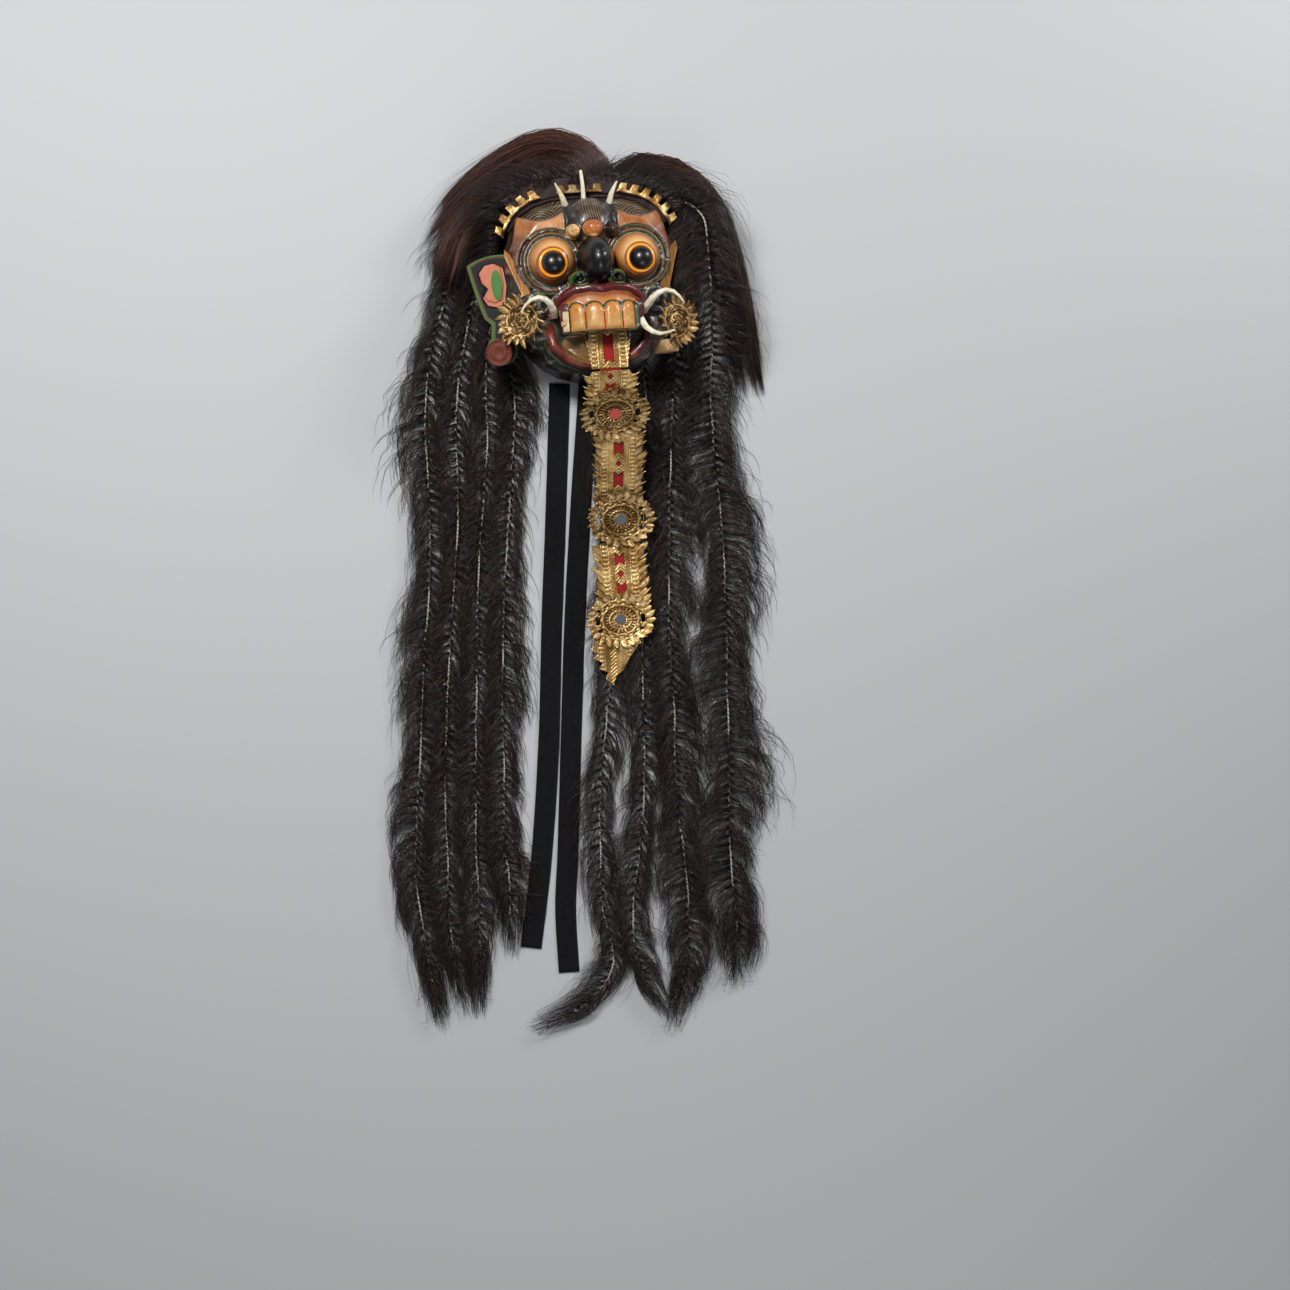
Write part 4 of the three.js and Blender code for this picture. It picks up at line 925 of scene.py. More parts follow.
# %% Tongue rosettes
SQUASH = 0.8
# The last number is painted shade that darkens the gilt of the two upper rosettes.
ROSETTES = {
    "tongue_rosette_1": (CHIN_SLOPE, 51, 0.42),
    "tongue_rosette_2": (BEND_SLOPE, 52, 0.5),
    "tongue_rosette_3": (0.0, 53, 0.0),
}
RAISED_RINGS = (9, 16, 26, 35)
PLATE_RINGS = [(9.5, 15, 5.5, 1.4, 1.6, 0.3), (17.5, 24, 6.5, 1.4, 1.4, 0.8),
               (38.5, 26, 11.5, 4.5, 2.6, 3.5)]
for node, (slope, seed, age) in ROSETTES.items():
    disc = skin_over(node, node + "_disc", 0.82, 1)
    along_axis, out_axis = plane_axes(slope)
    low, high_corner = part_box(node.replace("rosette", "mirror"))
    centre = np.array((low + high_corner) / 2) / MM - out_axis * 0.8
    offset = points_of(disc) - centre
    u, v = offset[:, 0], (offset @ along_axis) / SQUASH
    radius, angle = np.hypot(u, v), np.arctan2(v, u)
    rings = np.maximum.reduce([1 - smooth_step(np.abs(radius - r), 0.5, 1.4) for r in RAISED_RINGS])
    scrolls = np.clip(np.cos(14 * angle) * np.cos(radius * 0.9) * 1.5, 0, 1) * (radius > 27)
    flutes = np.clip(np.cos(20 * angle + radius * 0.12) + 0.2, 0, 1) * (radius > 36)
    marks = 0.25 + 0.75 * np.maximum.reduce([0.8 * rings, 0.7 * scrolls, flutes])
    punch(disc, marks, out_axis, 1.3)
    bowed = points_of(disc)
    lift = 3.4 * smooth_step(radius, 34, 51) * np.cos(3 * angle + seed) + 0.9 * wobble(bowed, 16, seed)
    set_points(disc, bowed + np.outer(lift, out_axis))
    place = on_plane(centre, ACROSS, along_axis, out_axis, SQUASH, 0.3)
    tabs = sum((ring_of(*ring) for ring in PLATE_RINGS), [])
    joined(disc, leaf_cluster(node + "_tabs", tabs, place, seed))
    store(disc, age=age)
    dressed(disc, gilt.material, "gilt_leather", node)
    print(node, "faces", len(disc.data.polygons))

# %% Cheek rosettes, with leaves on the side that points away from the face
FAN_RING, FAN_INNER = (23, 21, 15, 4.2, 1.8, 5.0), -5
FAN_LEAN, FAN_SHADE = math.radians(30), 0.55
FAN_BEADS = (10, 22.5)
CHEEKS = {"cheek_rosette_left": (-1, (-109, 76, 132), 61), "cheek_rosette_right": (1, (108, 62, 132), 62)}
for node, (sign, middle, seed) in CHEEKS.items():
    fan = skin_over(node, node + "_disc", 0.85, 1)
    lean = sign * FAN_LEAN
    out_axis = np.array([math.sin(lean), 0, math.cos(lean)])
    across_axis = np.array([math.cos(lean), 0, -math.sin(lean)])
    spots = points_of(fan) - np.array(middle)
    u, v = spots @ across_axis, spots[:, 1]
    radius, angle = np.hypot(u, v), np.arctan2(v, u)
    scrolls = smooth_step(np.cos(7 * angle + radius * 0.45) * np.cos(radius * 0.8), 0.1, 0.7)
    to_bead = np.min([np.abs(radius - bead) for bead in FAN_BEADS], axis=0)
    beads = 1 - smooth_step(to_bead, 0.6, 1.8)
    flutes = smooth_step(np.cos(16 * angle + radius * 0.3), -0.2, 0.8) * (radius > 24)
    marks = 0.22 + 0.6 * np.maximum.reduce([scrolls * (radius < 21), beads, flutes])
    marks += 0.08 * wobble(spots, 7, seed)
    punch(fan, marks, out_axis, 2.0)
    lift = 5 * smooth_step(radius, 14, 34) * np.cos(2 * angle + seed)
    set_points(fan, points_of(fan) + np.outer(lift, out_axis))
    place = on_plane(np.array(middle), across_axis, np.array([0, 1.0, 0]), out_axis, lift=1.6)
    leaves = [leaf for leaf in ring_of(*FAN_RING) if sign * leaf[0] > FAN_INNER]
    # Painted shade: the leaves and the disc of each cheek rosette are painted darker.
    joined(fan, leaf_cluster(node + "_leaves", leaves, place, seed, shade=0.7))
    store(fan, age=FAN_SHADE)
    dressed(fan, gilt.material, "gilt_leather", node)

# %% Gilt tabs on the brow
CROWN_DARKENING = {"crown_gilt_left": 0.0, "crown_gilt_middle": 0.7, "crown_gilt_right": 0.0}
for number, (node, age) in enumerate(CROWN_DARKENING.items()):
    tabs = skin_over(node, node + "_folded", 0.8, 2)
    bent = points_of(tabs)
    store(tabs, relief=0.55 + 0.45 * wobble(bent, 3.5, 70 + number), age=age)
    bent[:, 2] += 1.2 * wobble(bent, 7, 80 + number)
    set_points(tabs, bent)
    dressed(tabs, gilt.material, "gilt_leather", node)

# %% [markdown]
# ## Mirrors, cloth and leather bands
# Each rosette holds a small round mirror in a bent rim, and the silver of the
# upper one has turned red. The red cloth shows through the windows of the
# tongue. A leather cap edge carries the roots of the hair.

# %% Mirrors
MIRROR = dict(radius=8, depth=1.6, rim=1.3, step=0.3, sink=-0.5)
glass, glass_shader = principled("small_mirror")
set_values(glass_shader, Metallic=1.0, Roughness=0.08, Base_Color=(0.82, 0.84, 0.86, 1))
red_glass, red_glass_shader = principled("reddened_mirror")
set_values(red_glass_shader, Metallic=0.6, Roughness=0.25, Base_Color=(0.20, 0.012, 0.008, 1))
for node, (slope, _, _) in ROSETTES.items():
    mirror_node = node.replace("rosette", "mirror")
    low, high_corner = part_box(mirror_node)
    bpy.ops.object.select_all(action="DESELECT")
    radius, depth = MIRROR["radius"] * MM, MIRROR["depth"] * MM
    bpy.ops.mesh.primitive_cylinder_add(vertices=40, radius=radius, depth=depth)
    mirror = bpy.context.active_object
    mirror.name = mirror_node + "_set"
    for polygon in mirror.data.polygons:
        polygon.select = polygon.normal.z > 0.9
    bpy.ops.object.mode_set(mode="EDIT")
    bpy.ops.mesh.inset(thickness=MIRROR["rim"] * MM, depth=0)
    bpy.ops.mesh.inset(thickness=MIRROR["step"] * MM, depth=MIRROR["sink"] * MM)
    bpy.ops.object.mode_set(mode="OBJECT")
    glass_faces = [p.index for p in mirror.data.polygons if p.select]
    turn = np.array(Matrix.Rotation(slope, 3, "X"))
    set_points(mirror, points_of(mirror) @ turn.T + np.array((low + high_corner) / 2) / MM)
    store(mirror, relief=0.8)
    dressed(mirror, gilt.material, "mirror_glass", mirror_node)
    mirror.data.materials.append(red_glass if node == "tongue_rosette_1" else glass)
    for index in glass_faces:
        mirror.data.polygons[index].material_index = 1


# %% Strips of cloth
def evenly(route, count):
    """Evenly spaced points along a bent line, and how far along it each one is."""
    reach = np.concatenate([[0], np.cumsum(np.linalg.norm(np.diff(route, axis=0), axis=1))])
    spots = np.linspace(0, reach[-1], count)
    return np.column_stack([np.interp(spots, reach, column) for column in route.T]), spots


def ribbon(name, route, width, thick, steps):
    """A flat strip along a route of points, in millimetres, with a real thickness."""
    middle, spots = evenly(np.asarray(route, float), steps)
    along_axis = np.gradient(middle, axis=0)
    along_axis /= np.linalg.norm(along_axis, axis=1)[:, None]
    across = np.cross(along_axis, [0, 0, 1])
    across /= np.linalg.norm(across, axis=1)[:, None]
    rows = np.linspace(-0.5, 0.5, 7)
    grid = middle[:, None, :] + across[:, None, :] * (rows * width)[None, :, None]
    mesh = bpy.data.meshes.new(name)
    cells = [(i * 7 + j, i * 7 + j + 1, (i + 1) * 7 + j + 1, (i + 1) * 7 + j)
             for i in range(steps - 1) for j in range(6)]
    mesh.from_pydata((grid.reshape(-1, 3) * MM).tolist(), [], cells)
    strip = linked(name, mesh)
    store(strip, thread_u=np.tile(rows * width, steps), thread_v=np.repeat(spots, 7))
    applied(strip, "SOLIDIFY", thickness=thick * MM, offset=0)
    bpy.ops.object.shade_smooth()
    return strip, spots[-1]


def smooth_route(route, count):
    """A smooth line through the route's points, as evenly spaced points."""
    route = np.asarray(route, float)
    ends = np.vstack([2 * route[0] - route[1], route, 2 * route[-1] - route[-2]])
    curve = []
    for i in range(1, len(ends) - 2):
        p0, p1, p2, p3 = ends[i - 1 : i + 3]
        for t in np.linspace(0, 1, 24, endpoint=False):
            curve.append(0.5 * (2 * p1 + (p2 - p0) * t + (2 * p0 - 5 * p1 + 4 * p2 - p3) * t ** 2
                                + (3 * p1 - p0 - 3 * p2 + p3) * t ** 3))
    curve.append(route[-1])
    return evenly(np.array(curve), count)[0]


def woven(name, threads, bump, grain, dark, light, **values):
    """Cloth with crossing threads; threads are how fast they follow each other across and along."""
    paint = Paint(name)
    waves = [paint.math("SINE", paint.times(paint.kept(key), speed))
             for key, speed in zip(("thread_u", "thread_v"), threads)]
    paint.bump(paint.times(*waves), *bump)
    paint.surface(**values)
    return paint.finish(paint.mix(paint.noise(grain), dark, light))


# %% Red cloth under the tongue
CLOTH_WIDTH = 30
CLOTH_ROUTE = [(8, 62, 132.6), (10, 0, 132.6), (24, -190, 23.6), (13, -368, 23.6)]
red = woven("deep_red_cloth", (6.0, 6.0), (0.4, 0.0004), 120, "7a0608", "ad110f",
            Roughness=0.9, Sheen_Weight=0.12)
cloth, cloth_length = ribbon("tongue_lining", CLOTH_ROUTE, CLOTH_WIDTH, 0.9, 90)
dressed(cloth, red, "red_cloth", "tongue_cloth")
print("cloth length in mm:", round(cloth_length))

# %% Black cotton ties
TIE_WIDTH, TIE_STEPS = 30, 150
TIES = {
    "neck_tie_left": [(-43, -5), (-61, -171), (-81, -342), (-99, -512), (-121, -668), (-148, -806)],
    "neck_tie_right": [(0, -8), (-25, -173), (-48, -344), (-67, -515), (-84, -672), (-94, -757),
                       (-96, -846)],
}
black = woven("black_cotton_webbing", (4.2, 3.1), (0.6, 0.0006), 150, "08080a", "19191b",
              Roughness=0.85, Sheen_Weight=0.05, Specular_IOR_Level=0.12)
for number, (node, route) in enumerate(TIES.items()):
    flat_route = smooth_route([(px, py, 0.9) for px, py in route], TIE_STEPS)
    tie, tie_length = ribbon(node + "_webbing", flat_route, TIE_WIDTH, 1.2, TIE_STEPS)
    laid = points_of(tie)
    ripple = 1.6 * np.clip(wobble(laid * [1, 1, 0], 26, 90 + number) + 0.3, 0, None)
    ripple += 0.9 * np.clip(wobble(laid * [1, 1, 0], 11, 93 + number), 0, None)
    laid[:, 2] += ripple * smooth_step(laid[:, 1], -850, -780)
    set_points(tie, laid)
    dressed(tie, black, "black_cotton", node)
    print(node, "length in mm:", round(tie_length))

# %% Leather bands
hide = Paint("maroon_hide")
hide_colour = hide.mix(hide.noise(70, 5), "170c0c", "3a2220")
hide.bump(hide.noise(110, 6), 0.8, 0.003)
hide.surface(Roughness=0.78)
hide.finish(hide_colour)
for node in ("wig_band", "crown_band"):
    band = skin_over(node, node + "_hide", 1.2, 3)
    creased = points_of(band)
    creased[:, 2] += (1.3 * wobble(creased, 6, 99) + 1.5 * wobble(creased, 13, 98)) * (creased[:, 2] > 3)
    set_points(band, creased)
    dressed(band, hide.material, "maroon_leather", node)

# %% [markdown]
# ## Hair
# Hair is what the eye sees first: long locks whose tufts are knotted along a
# cord, so that each lock looks like a fern. Every strand is a thin three-sided
# blade that ends in a point. Numpy makes thousands at once: each starts at the
# cord, swings out, and is then combed down along the lock.

# %% Lock routes, in millimetres: x, y and the height of the underside
LOCKS = {
    "hair_crest_left_upper": dict(fringe=30, height=16, route=[
        (22, 252, 34), (22, 288, 20), (2, 318, 2), (-32, 328, 0), (-70, 318, 0), (-122, 288, 0),
        (-165, 250, 0), (-200, 207, 0)]),
    "hair_crest_left_lower": dict(fringe=22, height=16, route=[
        (-14, 250, 34), (-30, 282, 26), (-66, 288, 24), (-108, 268, 24), (-147, 238, 24),
        (-176, 200, 24), (-196, 146, 22)]),
    "hair_crest_right": dict(fringe=26, height=16, route=[
        (56, 248, 20), (78, 282, 4), (112, 291, 0), (159, 275, 0), (193, 235, 0), (211, 179, 0),
        (220, 113, 0), (226, 48, 0), (232, -18, 0)]),
    "hair_lock_left_1": dict(fringe=28, height=16, route=[
        (-78, 238, 6), (-131, 236, 0), (-170, 186, 0), (-205, 109, 0), (-231, 25, 0), (-242, -59, 0),
        (-244, -159, 0), (-253, -272, 0), (-269, -385, 0), (-283, -498, 0), (-297, -610, 0),
        (-305, -695, 0), (-299, -781, 0), (-289, -876, 0)]),
    "hair_lock_left_2": dict(fringe=25, height=16, route=[
        (-112, 204, 6), (-140, 173, 0), (-167, 93, 0), (-189, 9, 0), (-198, -62, 0), (-203, -162, 0),
        (-217, -275, 0), (-232, -373, 0), (-244, -472, 0), (-255, -585, 0), (-258, -671, 0),
        (-262, -755, 0), (-255, -858, 0)]),
    "hair_lock_left_3": dict(fringe=25, height=16, route=[
        (-117, 126, 4), (-135, 91, 0), (-150, 6, 0), (-154, -72, 0), (-167, -170, 0), (-181, -255, 0),
        (-191, -362, 0), (-202, -475, 0), (-210, -575, 0), (-217, -660, 0), (-219, -759, 0),
        (-227, -866, 0)]),
    "hair_lock_left_4": dict(fringe=27, height=16, route=[
        (-108, 66, 4), (-112, 20, 0), (-112, -40, 0), (-119, -96, 0), (-131, -180, 0), (-143, -265, 0),
        (-153, -350, 0), (-161, -436, 0), (-167, -535, 0), (-174, -649, 0), (-173, -720, 0),
        (-179, -782, 0)]),
    "hair_lock_right_1": dict(fringe=31, height=18, route=[
        (116, 84, 4), (130, 44, 0), (124, 2, 0), (114, -74, 0), (106, -141, 0), (97, -243, 0),
        (90, -310, 0), (86, -383, 0), (85, -467, 0), (80, -556, 0), (80, -639, 0), (83, -706, 0),
        (82, -772, 0), (74, -844, 0), (52, -911, 0)]),
    "hair_lock_right_2": dict(fringe=41, height=18, route=[
        (100, 222, 26), (138, 238, 60), (163, 212, 86), (168, 172, 92), (168, 107, 92), (171, 46, 62),
        (172, -24, 12), (173, -96, 0), (174, -173, 0), (175, -231, 0), (173, -300, 0), (170, -386, 0),
        (163, -476, 0), (159, -562, 0), (153, -646, 0), (149, -720, 0), (152, -793, 0),
        (143, -862, 0)]),
    "hair_lock_back_1": dict(fringe=22, height=16, route=[
        (38, 0, 2), (40, -40, 0), (31, -91, 0), (19, -177, 0), (9, -291, 0), (-1, -405, 0),
        (-20, -519, 0), (-33, -604, 0), (-40, -698, 0), (-42, -755, 0), (-34, -798, 0), (-33, -837, 0),
        (-54, -873, 0), (-93, -903, 0), (-130, -913, 0)]),
    "hair_lock_back_2": dict(fringe=23, height=16, route=[
        (78, 26, 2), (79, -30, 0), (71, -110, 0), (61, -205, 0), (50, -320, 0), (42, -440, 0),
        (35, -560, 0), (21, -670, 0), (4, -750, 0), (0, -808, 0), (12, -862, 0), (32, -902, 0)]),
}
SIDE_REACH = 24.0
SIDES = 3


def drawn_in(paths):
    """Draws strands that reach far past the frame's sides back towards their own roots."""
    low_side, high_side = cad_box[0][0] / MM, cad_box[1][0] / MM
    x = paths[..., 0]
    over = np.maximum(np.maximum(x - high_side, low_side - x).max(axis=1, keepdims=True), 0)
    reach = np.maximum(np.abs(x - x[:, :1]).max(axis=1, keepdims=True), 1)
    kept = 1 - (over - SIDE_REACH * np.tanh(over / SIDE_REACH)) / reach
    near = x[:, :1] + (x - x[:, :1]) * kept
    near = np.clip(near, low_side - SIDE_REACH, high_side + SIDE_REACH)
    return np.concatenate([near[..., None], paths[..., 1:]], axis=-1)


def blades(name, paths, radii, tones):
    """One mesh of many strands, in millimetres; paths holds each strand's points from root to end."""
    paths = drawn_in(paths)
    strands, count, _ = paths.shape
    along_axis = np.gradient(paths, axis=1)
    along_axis /= np.linalg.norm(along_axis, axis=2, keepdims=True) + 1e-9
    across = np.cross(along_axis, [0.03, 0.02, 1.0])
    across /= np.linalg.norm(across, axis=2, keepdims=True) + 1e-9
    up = np.cross(across, along_axis)
    turn = np.arange(SIDES) * 2 * math.pi / SIDES
    ring = across[:, :-1, None, :] * np.cos(turn)[None, None, :, None]
    ring = ring + up[:, :-1, None, :] * np.sin(turn)[None, None, :, None]
    body = paths[:, :-1, None, :] + ring * radii[:, :-1, None, None]
    body = body.reshape(strands, (count - 1) * SIDES, 3)
    corner = np.concatenate([body, paths[:, -1:, :]], axis=1)
    per = (count - 1) * SIDES + 1
    quads = []
    for k in range(count - 2):
        for s in range(SIDES):
            t = (s + 1) % SIDES
            quads.append((k * SIDES + s, k * SIDES + t, (k + 1) * SIDES + t, (k + 1) * SIDES + s))
    last = (count - 2) * SIDES
    tips = [(last + s, last + (s + 1) % SIDES, per - 1) for s in range(SIDES)]
    root = [(2, 1, 0)]
    loops = np.concatenate([np.array(quads).ravel(), np.array(tips + root).ravel()])
    sizes = np.array([4] * len(quads) + [3] * (len(tips) + 1))
    all_loops = (np.arange(strands)[:, None] * per + loops[None, :]).ravel()
    all_sizes = np.tile(sizes, strands)
    starts = np.concatenate([[0], np.cumsum(all_sizes)[:-1]])
    mesh = bpy.data.meshes.new(name)
    mesh.vertices.add(strands * per)
    mesh.vertices.foreach_set("co", (corner.reshape(-1) * MM).astype(np.float32))
    mesh.loops.add(len(all_loops))
    mesh.loops.foreach_set("vertex_index", all_loops.astype(np.int32))
    mesh.polygons.add(len(all_sizes))
    mesh.polygons.foreach_set("loop_start", starts.astype(np.int32))
    mesh.update(calc_edges=True)
    mesh.validate()
    piece = linked(name, mesh)
    store(piece, tone=np.repeat(tones, per))
    piece.data.polygons.foreach_set("use_smooth", np.ones(len(piece.data.polygons), bool))
    return piece


def lock_line(lock, count=400):
    """The lock's middle line on its underside, and the direction across it."""
    line = smooth_route(lock["route"], count)
    line[:, 2] = np.clip(line[:, 2], 0, None)
    along_axis = np.gradient(line, axis=0)
    flat = along_axis * [1, 1, 0]
    flat /= np.linalg.norm(flat, axis=1)[:, None]
    across = np.column_stack([-flat[:, 1], flat[:, 0], np.zeros(count)])
    return line, across


def at_share(table, share):
    """Reads a table that is even along the lock; past its end the last stretch runs on."""
    place = np.clip(share, 0, None) * (len(table) - 1)
    low = np.minimum(place.astype(int), len(table) - 2)
    part = (place - low)[..., None]
    return table[low] * (1 - part) + table[low + 1] * part


# %% Hair finish
def hair_paint(name, dark, light):
    """Dark hair whose strands differ in tone, with a soft shine."""
    paint = Paint(name)
    paint.surface(Roughness=0.42, Specular_IOR_Level=0.45)
    return paint.finish(paint.mix(paint.kept("tone"), dark, light))


SIDE_HAIR = hair_paint("dark_hair", "0b0807", "3f2a20")
CREST_HAIR = hair_paint("brown_crest_hair", "120a07", "704331")
twine = Paint("twisted_twine")
ply = twine.math("ADD", twine.times(twine.kept("along_twine"), 1.1), twine.kept("round_twine"))
ply = twine.above(twine.math("SINE", ply), 0.0, 0.5)
twine.surface(Roughness=0.85)
twine.finish(twine.mix(ply, "5f5850", "c9c2b5"))


def taper_of(share):
    """How wide a lock is along its length: narrow at the root, thinning out at the end."""
    return np.minimum(np.minimum(0.62 + 4.2 * share, 1), np.clip(0.5 + 5 * (1 - share), 0.3, None))


def column(values):
    """One number for each strand, set up to go with all the points of the strand."""
    return values[:, None]


# %% Tufted locks
RIB_STEP, STRAND_POINTS, MOST_PER_RIB, PER_FRINGE, PAST_END = 12.0, 6, 23, 0.68, 34.0
LOOSE_SHARE, FRAYED_SHARE = 0.10, 0.42
SWING, LOOSE_SWING = (0.72, 1.3), (1.1, 1.75)
DROP, LOOSE_DROP = (34, 88), (0.4, 1.5)
BROOM_FROM = 0.93


def tufted_lock(node, lock, seed):
    """Ribs of hair that leave a cord on both sides, draw together to points and hang along the lock."""
    rng = np.random.default_rng(seed)
    line, across = lock_line(lock)
    length = np.linalg.norm(np.diff(line, axis=0), axis=1).sum()
    fringe = lock["fringe"]
    ribs = int(length / RIB_STEP) * 2
    rib = np.repeat(np.arange(ribs), min(MOST_PER_RIB, int(fringe * PER_FRINGE)))
    count = len(rib)
    side_of = column(np.where(rib % 2, 1.0, -1.0))
    start = column((rib // 2 + 0.5 * (rib % 2)) / (ribs // 2) + rng.normal(0, 0.0016, count))
    fullness = 1 + 0.3 * np.sin(start * length / rng.uniform(38, 60) + side_of * 1.7 + seed)
    loose = rng.random(count) < LOOSE_SHARE
    swing = rng.uniform(*SWING, ribs)[rib] * rng.normal(1, 0.10, count)
    swing = column(swing * np.where(loose, rng.uniform(*LOOSE_SWING, count), 1.0))
    drop = rng.uniform(*DROP, ribs)[rib] * rng.normal(1, 0.14, count)
    drop = column(drop * np.where(loose, rng.uniform(*LOOSE_DROP, count), 1.0)) * (1 + 0.5 * (start > 0.9))
    t = np.linspace(0, 1, STRAND_POINTS)[None, :]
    share = start + drop * (0.22 * t + 0.78 * t ** 1.8) / length
    share = np.minimum(share, 1 + PAST_END * column(rng.uniform(-1.9, 1.0, count)) / length)
    wide = fringe * taper_of(share) * fullness
    clumped = column(rng.normal(0, 0.24, count)) * np.sin(math.pi * t) ** 0.8
    frayed = column(rng.normal(0, 0.42, count)) * t ** 1.4
    fan = np.where(column(loose | (rng.random(count) < FRAYED_SHARE)), frayed, clumped)
    out = (1 - (1 - t) ** 2.3) - 0.22 * t ** 3
    wave = column(rng.uniform(0.4, 2.2, count)) * t * np.sin(t * 6 + column(rng.uniform(0, 6.3, count)))
    broom = smooth_step(start, BROOM_FROM, 1.0)
    offset = (side_of * wide * swing * out + wide * fan) * (1 - broom) + wave
    offset = offset + broom * fringe * column(rng.normal(0, 0.42, count)) * t ** 0.8
    rise = column(rng.uniform(0.2, 1.0, count))
    arch = 0.55 * (1 - t) + np.sin(math.pi * np.clip(0.12 + 0.88 * t, 0, 1)) ** 0.8
    edge = np.clip(1 - (np.abs(offset) / (fringe * 2.2)) ** 2, 0.05, 1)
    lift = 0.8 + (lock["height"] - 2.5) * rise * arch * edge
    middle = at_share(line, share)
    paths = middle + at_share(across, share) * offset[..., None]
    paths[..., 2] = np.maximum(middle[..., 2] + lift, 0.5)
    thick = column(rng.uniform(0.33, 0.72, count)) * (1 - 0.8 * t)
    # Over random tones, strands that rise higher are painted lighter: a painted highlight on the top of the
    # lock.
    tones = np.clip(rng.beta(1.2, 3.0, count) + 0.25 * rng.random(ribs)[rib] * rise[:, 0] - 0.06, 0, 1)
    return blades(node + "_tufts", paths, np.broadcast_to(thick, share.shape), tones)


def core_cord(name, lock, radius=1.2):
    """The twisted cord in the middle of a lock; it dips into the hair here and there."""
    line, _ = lock_line(lock, 260)
    middle = line.copy()
    along = np.arange(len(line))
    dips = np.sin(along / 5.0 + lock["fringe"]) * np.sin(along / 13.0)
    middle[:, 2] += lock["height"] * (0.56 + 0.34 * dips)
    curve = bpy.data.curves.new(name, "CURVE")
    curve.dimensions = "3D"
    curve.bevel_depth, curve.bevel_resolution, curve.use_fill_caps = radius * MM, 1, True
    spline = curve.splines.new("POLY")
    keep = middle[6:-8]
    spline.points.add(len(keep) - 1)
    spline.points.foreach_set("co", np.column_stack([keep * MM, np.ones(len(keep))]).ravel())
    cord = linked(name, curve)
    only(cord)
    bpy.ops.object.convert(target="MESH")
    cord = bpy.context.active_object
    spots = points_of(cord)
    nearest = np.array([np.argmin(((keep - p) ** 2).sum(1)) for p in spots])
    out = spots - keep[nearest]
    store(cord, along_twine=nearest * 4.4, round_twine=2 * np.arctan2(out[:, 2], out[:, 0]))
    return cord


for number, (node, lock) in enumerate(LOCKS.items()):
    if "crest" in node:
        continue
    tufts = tufted_lock(node, lock, 200 + number)
    dressed(tufts, SIDE_HAIR, "dark_hair", node)
    dressed(core_cord(node + "_cord", lock), twine.material, "dark_hair")
    print(node, "strand faces:", len(tufts.data.polygons))

# %% [markdown]
# ## The crest and the hair roots
# The hair over the brow isn't knotted. Long strands sweep from the crown to both
# sides in bunches that draw together towards their ends, with loose hairs around
# them. Short hair grows out of the leather band and fills the space behind it.

# %% Combed crest
CREST_STRANDS, CREST_POINTS, BUNCHES = 1850, 10, 46


def combed_lock(node, lock, seed):
    """Bunches of strands that run the whole lock side by side and part towards the end."""
    rng = np.random.default_rng(seed)
    line, across = lock_line(lock)
    length = np.linalg.norm(np.diff(line, axis=0), axis=1).sum()
    bunch = rng.integers(0, BUNCHES, CREST_STRANDS)

    def each(values, own):
        """A value for each bunch plus a little of the strand's own."""
        return column(values[bunch] + rng.normal(0, own, CREST_STRANDS))

    def alone(low, high):
        """A value for each strand on its own."""
        return column(rng.uniform(low, high, CREST_STRANDS))

    t = np.linspace(0, 1, CREST_POINTS)[None, :]
    loose = column(rng.random(CREST_STRANDS) < 0.12)
    start = alone(0, 0.1)
    end = each(np.clip(rng.normal(0.88, 0.16, BUNCHES), 0.4, 1.04), 0.04)
    share = start + (np.clip(end, 0.35, 1 + PAST_END * 0.8 / length) - start) * t
    half = lock["fringe"] * 0.8 * np.minimum(0.7 + 2.5 * share, 1)
    lay = np.clip(each(rng.normal(0, 0.5, BUNCHES), 0.0), -1, 1)
    spread = column(rng.normal(0, 0.24, CREST_STRANDS)) * (1 - 0.72 * t)
    drift = each(rng.normal(0, 0.34, BUNCHES), 0.06) * share ** 1.6
    offset = half * (lay + spread + drift)
    phase = alone(0, 6)
    offset = offset + alone(0.2, 1.4) * np.sin(share * 11 + phase)
    offset = offset + loose * column(rng.normal(0, 20, CREST_STRANDS)) * t ** 1.5
    crown = np.sqrt(np.clip(1 - np.clip(np.abs(offset) / (half + 6), 0, 1) ** 2, 0.03, 1))
    layer = np.clip(each(rng.uniform(0.35, 1.0, BUNCHES), 0.1), 0.15, 1.05)
    lift = lock["height"] * crown * layer * (1 - 0.35 * share)
    lift = lift + loose * alone(0, 12) * np.sin(math.pi * t)
    middle = at_share(line, share)
    paths = middle + at_share(across, share) * offset[..., None]
    paths[..., 2] = np.maximum(middle[..., 2] + lift, 0.5)
    thick = np.where(loose, 0.3, alone(0.38, 0.74)) * (1 - 0.8 * t ** 2)
    tones = np.clip(rng.beta(1.4, 3.0, CREST_STRANDS) + each(rng.normal(0, 0.2, BUNCHES), 0)[:, 0], 0, 1)
    return blades(node + "_strands", paths, np.broadcast_to(thick, share.shape), tones)


for number, node in enumerate(n for n in LOCKS if "crest" in n):
    combed = combed_lock(node, LOCKS[node], 300 + number)
    dressed(combed, CREST_HAIR, "dark_hair", node)
    print(node, "strand faces:", len(combed.data.polygons))

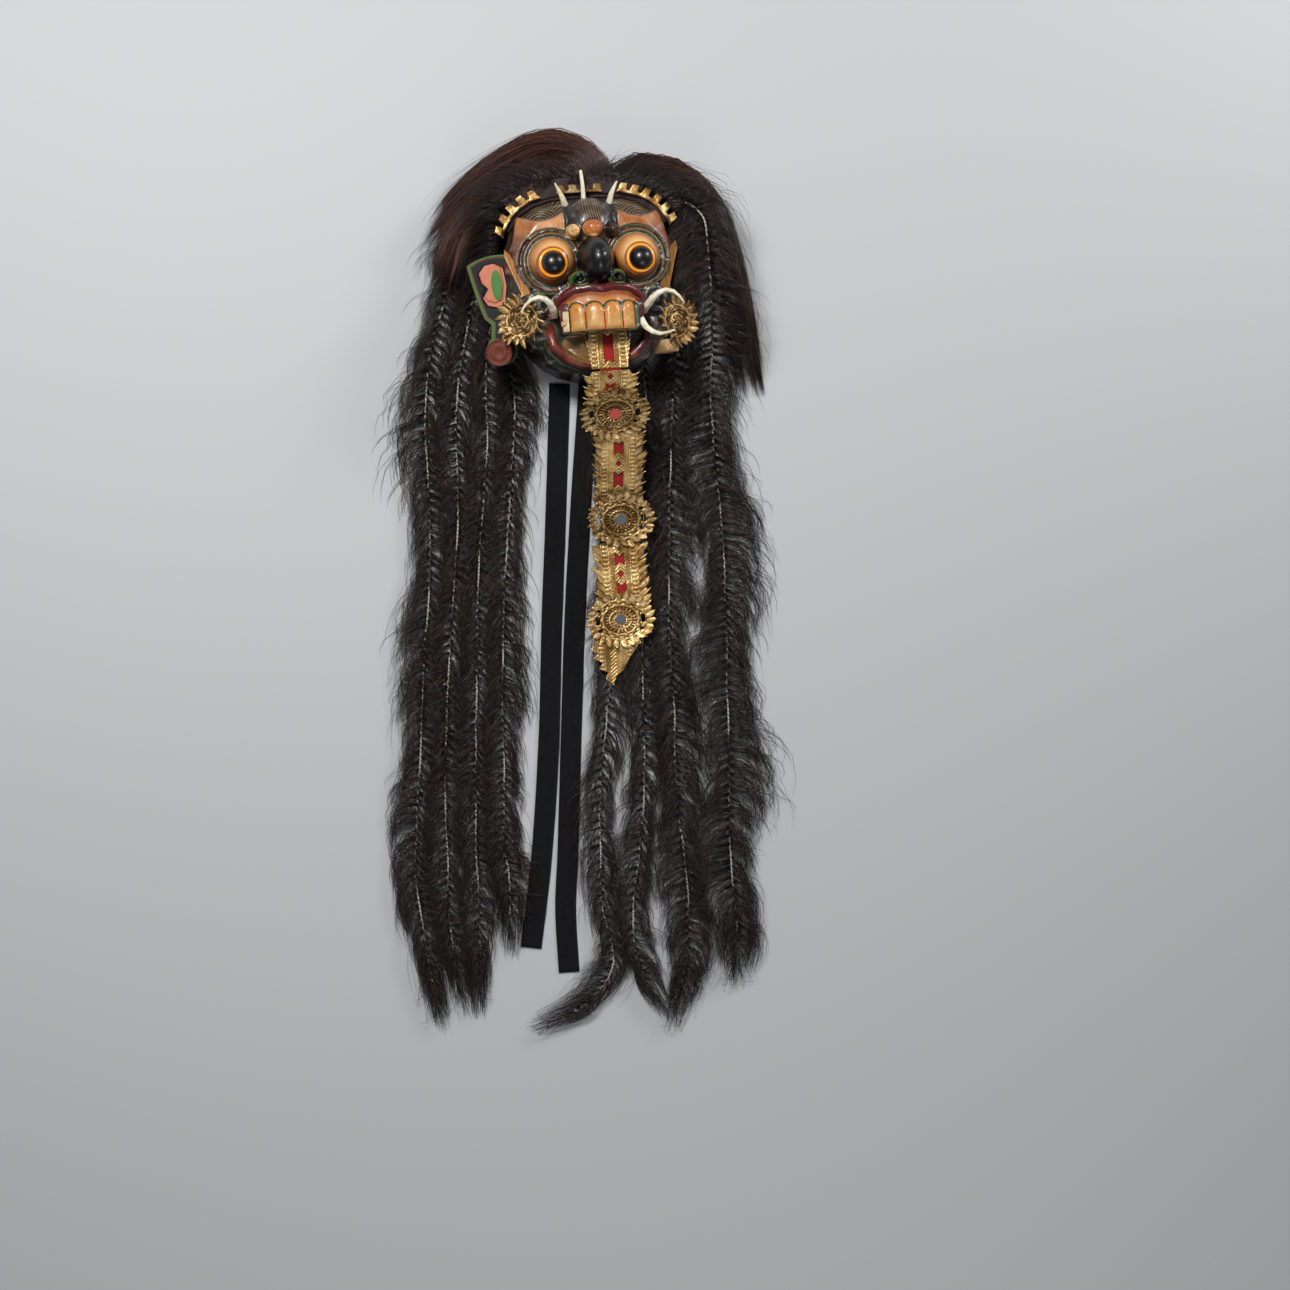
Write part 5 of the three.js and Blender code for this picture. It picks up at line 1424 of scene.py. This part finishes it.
# %% Hair roots along the leather band
HEAD_OUTLINE = dict(half=118, middle_y=133, rise=115, squareness=3.2)
BAND_OUT, BAND_TOP, ROOTS, ROOT_POINTS = 10, 74, 3700, 6
CROWN_EDGE, CROWN_TOP, CROWN_SPAN = 31, 83.5, 0.95


def outline_at(turn, grow):
    """A point of the head's outline at an angle, moved outwards."""
    c, s = np.cos(turn), np.sin(turn)
    reach = (np.abs(c) ** HEAD_OUTLINE["squareness"] + np.abs(s) ** HEAD_OUTLINE["squareness"])
    reach **= -1 / HEAD_OUTLINE["squareness"]
    wide, tall = HEAD_OUTLINE["half"] + grow, HEAD_OUTLINE["rise"] + grow
    return np.stack([wide * reach * c, HEAD_OUTLINE["middle_y"] + tall * reach * s], axis=-1)


rng = np.random.default_rng(401)


def for_roots(low, high):
    """A value for each root strand."""
    return column(rng.uniform(low, high, ROOTS))


turn = for_roots(math.radians(12), math.radians(168))
t = np.linspace(0, 1, ROOT_POINTS)[None, :]
reach = for_roots(18, 58)
sweep = np.where(turn < math.pi / 2, -1, 1) * for_roots(0.1, 0.42) * t ** 1.4
over_band = column(rng.random(ROOTS) < 0.3) & (np.abs(turn - math.pi / 2) < CROWN_SPAN)
inner = np.where(over_band, for_roots(18, CROWN_EDGE), BAND_OUT)
strayed = column(rng.normal(0, 0.03, ROOTS)) * t
swept = outline_at(turn + sweep + strayed, inner + reach * t ** 0.9)
begin = np.where(over_band, CROWN_TOP, for_roots(4, BAND_TOP))
settle = for_roots(1, 14)
height = begin + (settle - begin) * t ** 1.7 + 5 * np.sin(math.pi * t)
paths = np.concatenate([swept, height[..., None]], axis=-1)
thick = for_roots(0.32, 0.66) * (1 - 0.8 * t)
roots = blades("hair_roots", paths, np.broadcast_to(thick, height.shape), rng.beta(1.2, 3.4, ROOTS))
dressed(roots, SIDE_HAIR, "dark_hair")
print("root faces:", len(roots.data.polygons))

# %% [markdown]
# ## Hand over
# The box of the frame is printed at the end.

# %% Sizes and the end
print("frame box:", [[round(v, 3) for v in c] for c in cad_box])
